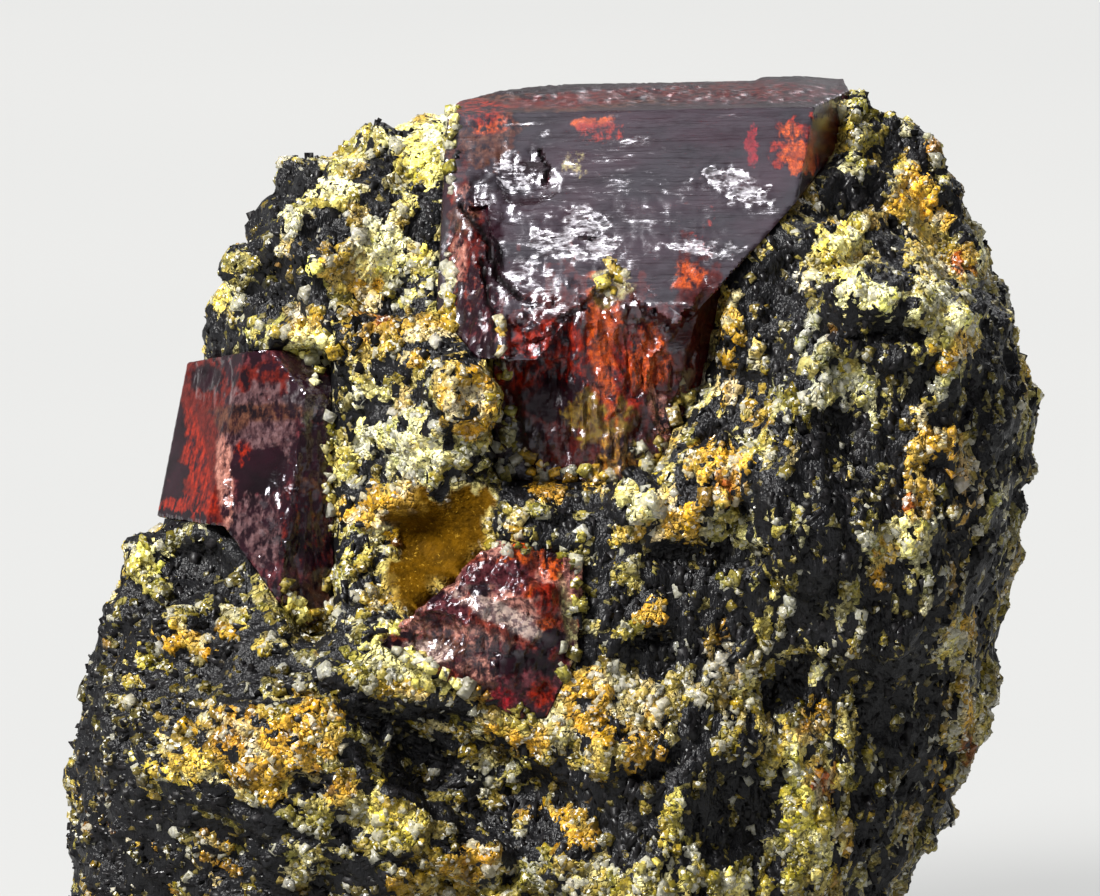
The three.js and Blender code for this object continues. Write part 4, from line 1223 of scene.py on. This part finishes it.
# Colours in each crystal, painted in this order: kind, ellipse with its turn, strength. The red, orange and
# amber patches are painted glow of light caught inside the glass.
GLOWS = {
    "zircon_large": (
        ("maroon", 590, 380, 110, 110, 0, 0.85), ("maroon", 705, 345, 30, 100, 8, 0.85),
        ("red", 548, 355, 48, 26, 12, 0.7), ("red", 560, 385, 26, 22, 0, 0.5),
        ("night", 553, 400, 24, 16, 0, 0.8), ("night", 515, 445, 26, 26, 0, 0.6),
        ("night", 482, 300, 10, 40, 0, 0.6), ("ochre", 604, 415, 32, 26, 0, 0.9),
        ("orange", 606, 345, 14, 56, 4, 0.9), ("orange", 608, 330, 6, 16, 0, 1.0),
        ("red", 640, 372, 24, 36, 0, 0.7), ("orange", 648, 361, 18, 24, 0, 0.8),
        ("amber", 620, 462, 20, 24, 0, 0.6), ("maroon", 658, 425, 18, 34, -10, 0.7),
        ("salmon", 664, 422, 7, 22, 20, 0.6), ("crust", 614, 281, 14, 14, 0, 0.9),
        ("ochre", 605, 294, 9, 12, 0, 0.8), ("brown", 484, 140, 36, 26, 25, 0.75),
        ("orange", 488, 124, 14, 7, 0, 0.7), ("red", 470, 118, 16, 5, 0, 0.6),
        ("orange", 598, 126, 21, 9, -8, 1.0), ("red", 598, 134, 22, 8, 8, 0.6),
        ("crimson", 751, 147, 5, 16, 0, 0.9), ("red", 800, 146, 26, 26, -30, 0.75),
        ("orange", 800, 160, 14, 12, -45, 0.9), ("orange", 790, 135, 8, 8, 0, 0.6),
        ("orange", 686, 275, 14, 10, 0, 0.85), ("red", 706, 220, 10, 20, 0, 0.25),
        ("maroon", 832, 141, 11, 30, 0, 0.9), ("maroon", 459, 195, 9, 30, 0, 0.8),
        ("red", 453, 262, 5, 34, 0, 0.7), ("ruby", 470, 246, 16, 44, 0, 0.75),
        ("brown", 464, 214, 10, 14, 0, 0.9), ("plum", 480, 322, 16, 40, 0, 0.5),
        ("salmon", 459, 262, 5, 12, 0, 0.7), ("brick", 474, 290, 6, 16, 10, 0.4),
        ("mauve", 486, 352, 12, 14, 0, 0.2), ("crust", 573, 165, 12, 12, 0, 0.6),
        ("salmon", 467, 200, 7, 8, 0, 0.4), ("red", 468, 104, 18, 5, 0, 0.6),
        ("maroon", 680, 95, 60, 8, 0, 0.7), ("plum", 760, 92, 80, 10, 0, 0.7),
        ("brown", 540, 103, 84, 8, 0, 0.8), ("ruby", 580, 98, 44, 5, 4, 0.8),
        ("ruby", 720, 90, 40, 4, 0, 0.6), ("red", 470, 108, 20, 5, 0, 0.6),
    ),
    "zircon_left": (
        ("plum", 270, 500, 80, 140, 0, 0.6), ("ruby", 204, 430, 26, 92, 4, 0.95),
        ("red", 196, 462, 8, 34, 12, 0.75), ("red", 184, 504, 28, 7, 0, 0.75),
        ("night", 205, 378, 12, 10, 0, 0.5), ("night", 178, 430, 4, 14, 0, 0.6),
        ("ruby", 266, 386, 30, 18, 0, 0.7), ("mauve", 262, 440, 36, 50, 0, 0.8),
        ("night", 262, 470, 28, 20, 0, 0.5), ("red", 244, 457, 5, 8, 0, 0.6),
        ("mauve", 258, 530, 22, 30, 20, 0.6), ("ruby", 305, 535, 22, 44, 0, 0.4),
        ("night", 312, 460, 18, 30, 0, 0.6), ("brown", 311, 484, 12, 6, 0, 0.7),
        ("brown", 318, 610, 26, 30, 0, 0.7), ("grey", 306, 396, 18, 22, 20, 0.6),
        ("salmon", 225, 478, 5, 24, 4, 0.8), ("brown", 232, 420, 12, 10, 0, 0.7),
        ("brown", 268, 412, 30, 5, 0, 0.5),
    ),
    "zircon_broken": (
        ("brick", 500, 620, 110, 95, 0, 1.1), ("salmon", 452, 585, 22, 20, 30, 0.75),
        ("salmon", 415, 616, 20, 18, 0, 0.9), ("orange", 508, 550, 26, 12, 0, 0.8),
        ("salmon", 490, 548, 12, 8, 0, 0.9), ("plum", 496, 582, 32, 18, 0, 1.0),
        ("night", 480, 592, 8, 6, 0, 0.6), ("night", 434, 594, 6, 7, 0, 0.6),
        ("plum", 448, 616, 22, 14, 0, 1.0), ("salmon", 562, 582, 20, 26, 0, 0.9),
        ("orange", 540, 612, 10, 22, 20, 0.95), ("red", 545, 600, 12, 14, 0, 0.9),
        ("orange", 552, 566, 8, 10, 0, 0.7), ("salmon", 506, 608, 26, 14, -10, 1.3),
        ("pearl", 506, 617, 34, 8, -28, 1.4), ("plum", 462, 650, 46, 18, 0, 0.9),
        ("salmon", 476, 642, 40, 11, -15, 0.75), ("brown", 440, 650, 22, 10, 0, 0.9),
        ("plum", 520, 676, 54, 30, 0, 1.0), ("night", 506, 664, 22, 8, 10, 0.8),
        ("night", 552, 650, 14, 20, 0, 0.5), ("ruby", 556, 656, 8, 8, 0, 0.8),
        ("brown", 470, 690, 20, 12, 0, 0.8), ("crimson", 502, 698, 8, 7, 0, 0.9),
        ("red", 542, 692, 9, 9, 0, 0.9), ("salmon", 482, 668, 16, 8, 0, 0.6),
        ("pearl", 418, 654, 22, 8, 0, 1.3), ("crust", 573, 640, 3, 26, 10, 0.8),
    ),
}
# Rough spots that catch the light: ellipse with its turn, strength.
GLINTS = {
    "zircon_large": (
        (545, 133, 7, 5, 0, 0.8), (637, 142, 14, 5, 5, 1.0), (512, 176, 24, 18, -30, 1.05),
        (513, 198, 8, 10, 0, 0.9), (545, 160, 9, 22, 10, 0.5), (618, 189, 14, 9, 10, 0.8),
        (672, 188, 18, 8, 5, 0.6), (738, 187, 38, 15, -18, 1.15), (760, 205, 24, 14, -50, 0.7),
        (585, 221, 26, 14, -12, 1.15), (556, 246, 30, 15, -15, 1.15), (602, 245, 18, 10, 0, 1.2),
        (655, 219, 24, 12, 15, 0.6), (706, 248, 36, 8, -4, 1.1), (524, 276, 28, 18, 30, 0.95),
        (548, 306, 30, 12, -12, 0.85), (620, 150, 6, 6, 0, 0.5), (700, 300, 24, 10, 0, 0.4),
        (632, 262, 10, 8, 0, 0.7), (575, 165, 10, 10, 0, 0.7), (545, 335, 8, 5, 0, 0.8),
        (700, 116, 130, 2, 0, 0.6), (520, 124, 34, 3, 0, 0.6), (606, 352, 8, 22, 0, 0.35),
        (612, 400, 30, 18, 0, 0.25), (668, 420, 8, 28, 20, 0.5), (640, 345, 12, 12, 0, 0.35),
        (665, 302, 26, 10, 0, 0.6), (470, 250, 10, 30, 0, 0.3), (545, 395, 20, 18, 0, 0.35),
        (575, 335, 20, 12, 0, 0.4), (570, 225, 110, 96, 0, 0.48), (720, 215, 60, 50, 0, 0.4),
        (530, 430, 16, 12, 0, 0.3), (620, 470, 16, 8, 0, 0.35),
    ),
    "zircon_left": (
        (228, 476, 5, 26, 4, 0.75), (229, 502, 5, 6, 0, 0.9), (311, 396, 18, 22, 20, 0.55),
        (291, 488, 6, 6, 0, 0.9), (316, 452, 12, 30, 0, 0.5), (240, 545, 4, 22, 20, 0.6),
        (262, 400, 10, 18, 0, 0.45), (196, 372, 20, 4, 0, 0.5),
    ),
    "zircon_broken": (
        (508, 619, 30, 4, -28, 0.5), (548, 656, 16, 14, 0, 0.5), (505, 590, 4, 4, 0, 0.9),
        (530, 663, 12, 6, 0, 0.5), (562, 580, 14, 24, 0, 0.45), (465, 645, 46, 14, -10, 0.62),
        (496, 552, 16, 8, 0, 0.5),
    ),
}
# Broken ground on each crystal: ellipse with its turn, relief in millimetres.
BREAKS = {
    "zircon_large": (
        (595, 395, 95, 95, 0, 0.45), (700, 345, 30, 90, 0, 0.1), (505, 185, 34, 34, 0, 0.16),
        (575, 240, 48, 26, -10, 0.12), (735, 190, 40, 18, -20, 0.08), (525, 285, 40, 26, 30, 0.12),
        (660, 230, 60, 30, 0, 0.05), (482, 140, 34, 24, 25, 0.05), (474, 270, 26, 84, 0, 0.22),
        (650, 95, 190, 9, 0, 0.12),
    ),
    "zircon_left": (
        (300, 540, 40, 90, 0, 0.14), (262, 410, 30, 40, 0, 0.05), (228, 470, 6, 40, 0, 0.1),
        (316, 450, 16, 36, 0, 0.14), (215, 385, 24, 24, 0, 0.08), (250, 550, 20, 50, 25, 0.06),
    ),
    "zircon_broken": (
        (500, 620, 110, 100, 0, 0.34),
    ),
}
# How strongly each crystal's surface reflects: all over, then in ellipses.
SHINES = {
    "zircon_large": (1.0, (
        (600, 405, 110, 88, 0, 0.42), (480, 290, 20, 96, 0, 0.20), (546, 392, 34, 30, 0, 0.16),
        (740, 92, 110, 10, 0, 0.74), (715, 140, 90, 16, 0, 0.80), (836, 140, 12, 30, 0, 0.4),
        (798, 146, 26, 26, -30, 0.6), (484, 140, 34, 24, 25, 0.6), (706, 330, 24, 80, 10, 0.35),
    )),
    "zircon_left": (0.5, (
        (311, 396, 22, 24, 20, 1.6), (204, 445, 24, 76, 4, 0.35), (305, 535, 24, 50, 0, 0.35),
    )),
    "zircon_broken": (0.14, (
        (490, 590, 12, 8, 0, 0.5), (508, 620, 34, 7, -28, 0.8), (465, 645, 46, 14, -10, 0.7),
    )),
}
CRYSTAL_VOXEL = {"zircon_large": 0.14, "zircon_left": 0.13, "zircon_broken": 0.12}

# The large crystal's striated face: a point on it, its direction, and its broken lower rim in the picture.
FACE_POINT = np.array([5, 22.25, 6.5])
FACE_OUT = np.array([-0.04, 0.45, 0.9])
RIM_X = (484, 493, 499, 508, 524, 540, 556, 580, 602, 614, 622, 630, 650, 675, 700, 730)
RIM_Y = (196, 240, 274, 318, 338, 334, 326, 306, 288, 262, 282, 297, 312, 328, 300, 258)
RIM_DROP = 0.45
# How far left and right the face and the ground below it reach, at these heights in the picture.
SIDE_Y = (205, 219, 244, 274, 300, 340, 400, 470)
SIDE_LEFT = (466, 474, 493, 500, 504, 506, 506, 510)
SIDE_RIGHT = (758, 750, 737, 718, 700, 690, 680, 650)
# How near to the face's plane ground is settled onto it, and how much less at the broken tooth, mm.
SETTLE_REACH = (2.1, 1.5)


def settle_face(points):
    """Makes the striated face one plane down to its rim, with the broken ground below it a step lower."""
    at = pixels(points)
    rim = np.interp(at[:, 0], RIM_X, RIM_Y)
    plane = FACE_POINT[2] - ((points[:, :2] - FACE_POINT[:2]) @ FACE_OUT[:2]) / FACE_OUT[2]
    ragged = 7 * noise(points, 0.7, 71) + 4 * noise(points, 0.3, 72)
    above = smoothstep(rim - at[:, 1] + ragged, -2, 3)
    above[at[:, 0] > RIM_X[-1]] = 1
    inside = smoothstep(at[:, 0] - np.interp(at[:, 1], SIDE_Y, SIDE_LEFT), 0, 6)
    inside *= smoothstep(np.interp(at[:, 1], SIDE_Y, SIDE_RIGHT) - at[:, 0], 0, 6)
    tooth = smoothstep(at[:, 1], 262, 285) * (1 - smoothstep(at[:, 0], 540, 575))
    reach = SETTLE_REACH[0] - SETTLE_REACH[1] * tooth
    inside *= (at[:, 1] > SIDE_Y[0]) * (1 - smoothstep(np.abs(points[:, 2] - plane) - reach, 0, 0.8))
    below = 1 - smoothstep(at[:, 1] - rim, 40, 90)
    lower = np.minimum(points[:, 2], plane - RIM_DROP * below)
    wanted = above * plane + (1 - above) * lower
    moved = points.copy()
    moved[:, 2] += (wanted - points[:, 2]) * inside
    return moved


# The front and back edges of the large crystal's top in the picture, and the back edge's lift, mm.
TOP_X = (440, 457, 500, 545, 600, 640, 713, 755, 762, 800, 838, 850)
TOP_FRONT = (116, 115, 114, 113, 112, 112, 111, 110, 110, 109, 109, 109)
TOP_BACK = (104, 103, 101, 98, 94, 92, 88, 86, 86, 83, 80, 80)
TOP_LIFT = (0, 0, 0.45, 0.60, 0.50, 0.42, 0.25, 0.18, 0.34, 0.28, 0.0, 0.0)


def lift_top(points):
    at = pixels(points)
    front, back, lift = (np.interp(at[:, 0], TOP_X, edge) for edge in (TOP_FRONT, TOP_BACK, TOP_LIFT))
    moved = points.copy()
    moved[:, 1] += lift * smoothstep((front - at[:, 1]) / (front - back), 0.1, 1.0)
    return moved


# Dull black cracks in the large crystal: the picture points of each, and its half width, pixels.
CRACKS = (
    ((462, 205), (473, 222), (490, 246), (497, 274), (522, 297), 4.0),
    ((482, 262), (488, 300), (497, 330), 2.5),
    ((540, 150), (548, 165), (545, 182), 2.0),
)
CRACK_DEPTH = 0.22


def crack_share(name, points):
    """How far into a crack each point is, from 0 to 1."""
    share = np.zeros(len(points))
    if name != "zircon_large":
        return share
    at = pixels(points) + 3 * np.stack([noise(points, 0.6, 77), noise(points, 0.6, 78)], 1)
    for *line, half in CRACKS:
        for start, end in zip(line[:-1], line[1:]):
            start, end = np.array(start, float), np.array(end, float)
            along = np.clip((at - start) @ (end - start) / ((end - start) ** 2).sum(), 0, 1)
            away = np.linalg.norm(at - start - along[:, None] * (end - start), axis=1)
            share = np.maximum(share, 1 - smoothstep(away / half, 0.5, 1.3))
    return share


def make_crystal(name):
    crystal = remeshed(name, name + "_crystal", CRYSTAL_VOXEL[name], hug=True)
    mesh = crystal.data
    mesh.polygons.foreach_set("use_smooth", [True] * len(mesh.polygons))
    points, normals = vertices_of(mesh), normals_of(mesh)
    seen = smoothstep(normals[:, 2] + 0.6 * np.maximum(normals[:, 1], 0), 0.0, 0.35)
    if name == "zircon_large":
        points = lift_top(settle_face(points))
    relief = np.zeros(len(points))
    for size, share in painted(points, BREAKS[name], 0.8, 0.25):
        relief = np.maximum(relief, share * size)
    rough = fractal(points, (0.9, 1.5, 0.9), 4, 61)
    creases = 1 - 2 * np.abs(noise(points, (0.7, 1.8, 0.9), 66))
    points = points - normals * (CRACK_DEPTH * crack_share(name, points) * seen)[:, None]
    broken = 0.55 * rough - 0.45 * np.maximum(creases, 0) ** 2
    points = points + normals * (relief * seen * broken)[:, None]
    place_vertices(mesh, points)
    paint_crystal(crystal, name, points, seen)
    set_attribute(crystal, "lined", 1 - smoothstep(np.abs(normals[:, 0]), 0.35, 0.6))
    set_attribute(crystal, "broken", np.clip(relief / 0.3, 0, 1))
    mesh.set_sharp_from_angle(angle=math.radians(30))
    mesh.materials.append(crystal_look(name))
    return crystal


def paint_crystal(crystal, name, points, seen):
    """Gives a crystal its colours, glow, glints, shine and dull cracks, where it is seen."""
    colour = np.tile(np.array(GLASS["night"]), (len(points), 1))
    glow = np.zeros(len(points))
    kinds = [kind for kind, *_ in GLOWS[name]]
    rows = [row for _, *row in GLOWS[name]]
    for kind, (strength, share) in zip(kinds, painted(points, rows, 0.5, 0.35)):
        share = share * seen
        near = np.minimum(share * 3, 1)[:, None]
        colour = colour * (1 - near) + np.array(GLASS[kind]) * near
        glow = glow * (1 - share) + (strength * share if kind != "night" else 0)
    glint = np.zeros(len(points))
    for strength, share in painted(points, GLINTS[name], 0.4, 0.4):
        glint = np.maximum(glint, share * strength * seen)
    base, patches = SHINES[name]
    shine = np.full(len(points), base)
    for value, share in painted(points, patches, 0.5, 0.3):
        shine = shine * (1 - share * seen) + value * share * seen
    dull = crack_share(name, points) * seen
    # The body attribute holds the glass's own colour and its painted glow.
    set_attribute(crystal, "body", colour)
    set_attribute(crystal, "glow", glow)
    set_attribute(crystal, "glint", glint * (1 - dull))
    set_attribute(crystal, "shine", shine * (1 - 0.3 * np.minimum(glint, 1)) * (1 - dull))
    set_attribute(crystal, "dull", dull)


# How far the crumbs inside each crystal dim its body colour.
DEEPS = {
    "zircon_large": (0.62, 0.50, 0.50),
    "zircon_left": (0.62, 0.55, 0.55),
    "zircon_broken": (0.26, 0.20, 0.24),
}
POLISH = {"zircon_large": 0.27, "zircon_left": 0.06, "zircon_broken": 0.06}  # roughness of the flat faces
LINED = {"zircon_large": 0.42, "zircon_left": 0.18, "zircon_broken": 0.3}  # how strongly growth lines show
ZIRCON_IOR = 1.92
CLEARNESS = 0.65
# How much brighter the streaks make the painted glow.
BRIGHTER = (1.6, 1.7, 1.6)
NIGHTS = ((0.014, 0.006, 0.009), (0.052, 0.013, 0.025))  # the glass where nothing glows
CRACK_BLACK = (0.004, 0.002, 0.002)
SHINE_TINTS = ((0.02, 0.018, 0.02), (0.92, 0.91, 1.0))
GLINT_ROUGHNESS = 0.42
FLECK_SPREAD = 1.35
ABSORBED = {"Color": (0.86, 0.25, 0.14, 1), "Density": 350}


def crystal_look(name):
    look = Shader(name + "_glass")
    broken, dull = look.attribute("broken"), look.attribute("dull")
    glass_colour(look, name, dull)
    fine = look.noise(0.10, 3, 0.7)
    lit = caught_light(look)
    look.set(Normal=crystal_ground(look, name, broken, fine, lit))
    fleck = look.noise(0.26, 3, 0.80, look.stretched((0.5, 1, 1), (0, 0.25, 0)))
    haze = look.noise(1.1, 4, 0.80, look.stretched((0.30, 1, 1), (0, 0.15, 0)))
    shine = look.times(look.attribute("shine"), look.ramp(haze, 0.36, 0.62, 0.80, 1.3))
    shine = look.ramp(lit, 0, 1, shine, look.ramp(fleck, 0.36, 0.72, 0.10, 0.64))
    look.set(Specular_Tint=look.mix(shine, *SHINE_TINTS))
    rough = look.plus(broken, look.times(fine, 0.5))
    rough = look.ramp(rough, 0, 1.5, POLISH[name], max(0.22, POLISH[name]))
    rough = look.math("MAXIMUM", rough, look.ramp(lit, 0, 1, 0, GLINT_ROUGHNESS))
    look.set(Roughness=look.math("MAXIMUM", rough, look.times(dull, 0.5)))
    absorb = look.node("ShaderNodeVolumeAbsorption")
    look.feed(absorb, **ABSORBED)
    look.feed(look.output, Volume=absorb.outputs[0])
    return look.material


def glass_colour(look, name, dull):
    """Sets the glass: dark, with its body colour and painted glow showing in streaks and crumbs where it
    glows.
    """
    body = look.attribute("body", "Vector")
    streak = look.noise(0.36, 3, 0.72, look.stretched((1, 1, 0.5)))
    shown = look.ramp(look.plus(look.times(streak, 2.3), look.attribute("glow")), 1.62, 1.98)
    crumbs = look.ramp(look.noise(0.30, 2, 0.7), 0.42, 0.56)
    mottled = look.mix(crumbs, look.tinted(body, DEEPS[name]), body)
    bright = look.mix(look.ramp(streak, 0.45, 0.70), mottled, look.tinted(mottled, BRIGHTER))
    clouds = look.noise(1.6, 2, 0.6, look.stretched((0.5, 1, 1)))
    night = look.mix(look.ramp(clouds, 0.35, 0.75), *NIGHTS)
    look.set(Base_Color=look.mix(dull, look.mix(shown, night, bright), CRACK_BLACK))
    look.set(IOR=ZIRCON_IOR, Transmission_Weight=CLEARNESS)


def caught_light(look):
    """How much of each place is a rough spot that catches the light."""
    patchy = look.noise(0.62, 4, 0.78, look.stretched((0.42, 1, 1), (0, 0.3, 0)), 0.8)
    scratch = look.noise(0.20, 2, 0.6, look.stretched((0.10, 1, 1), (0, 0.2, 0)))
    caught = look.plus(look.attribute("glint"), look.times(patchy, 1.9))
    caught = look.plus(caught, look.times(look.ramp(scratch, 0.46, 0.64), 0.22))
    return look.ramp(caught, 1.52, 2.30)


def crystal_ground(look, name, broken, fine, lit):
    """The crystal's surface: growth lines, chips where it is broken, and flecks that face the key light."""
    lines = look.noise(0.50, 4, 0.62, look.stretched((0.035, 1, 1)))
    grooves = look.times(look.ramp(lines, 0.46, 0.60), look.attribute("lined"))
    ground = look.bump(grooves, 0.05, LINED[name])
    ground = look.bump(look.times(fine, broken), 0.02, 0.6, Normal=ground)
    chips = look.chipped(look.cells(0.30, look.stretched((1.2, 1.2, 0.6))), 1.1)
    ground = look.mix(look.times(broken, 0.35), ground, chips, "VECTOR")
    wave = look.noise(0.34, 3, 0.62, look.stretched((0.5, 1, 1)), output="Color")
    flecks = look.about(tuple(np.array(TILT) @ AXES - FLECK_SPREAD / 2), wave, FLECK_SPREAD)
    return look.mix(lit, ground, flecks, "VECTOR")


# ---------------------------------------------------------------- the whole
make_camera()
make_stage()
make_lights()
skin = make_skin()
dress_skin(skin)
crystals = [make_crystal(name) for name in CRYSTALS]
grains = make_grains(skin, crystals)
for piece in [skin] + grains:
    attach(piece, "root")
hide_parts("matrix")
for name, crystal in zip(CRYSTALS, crystals):
    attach(crystal, "root")
    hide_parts(name)
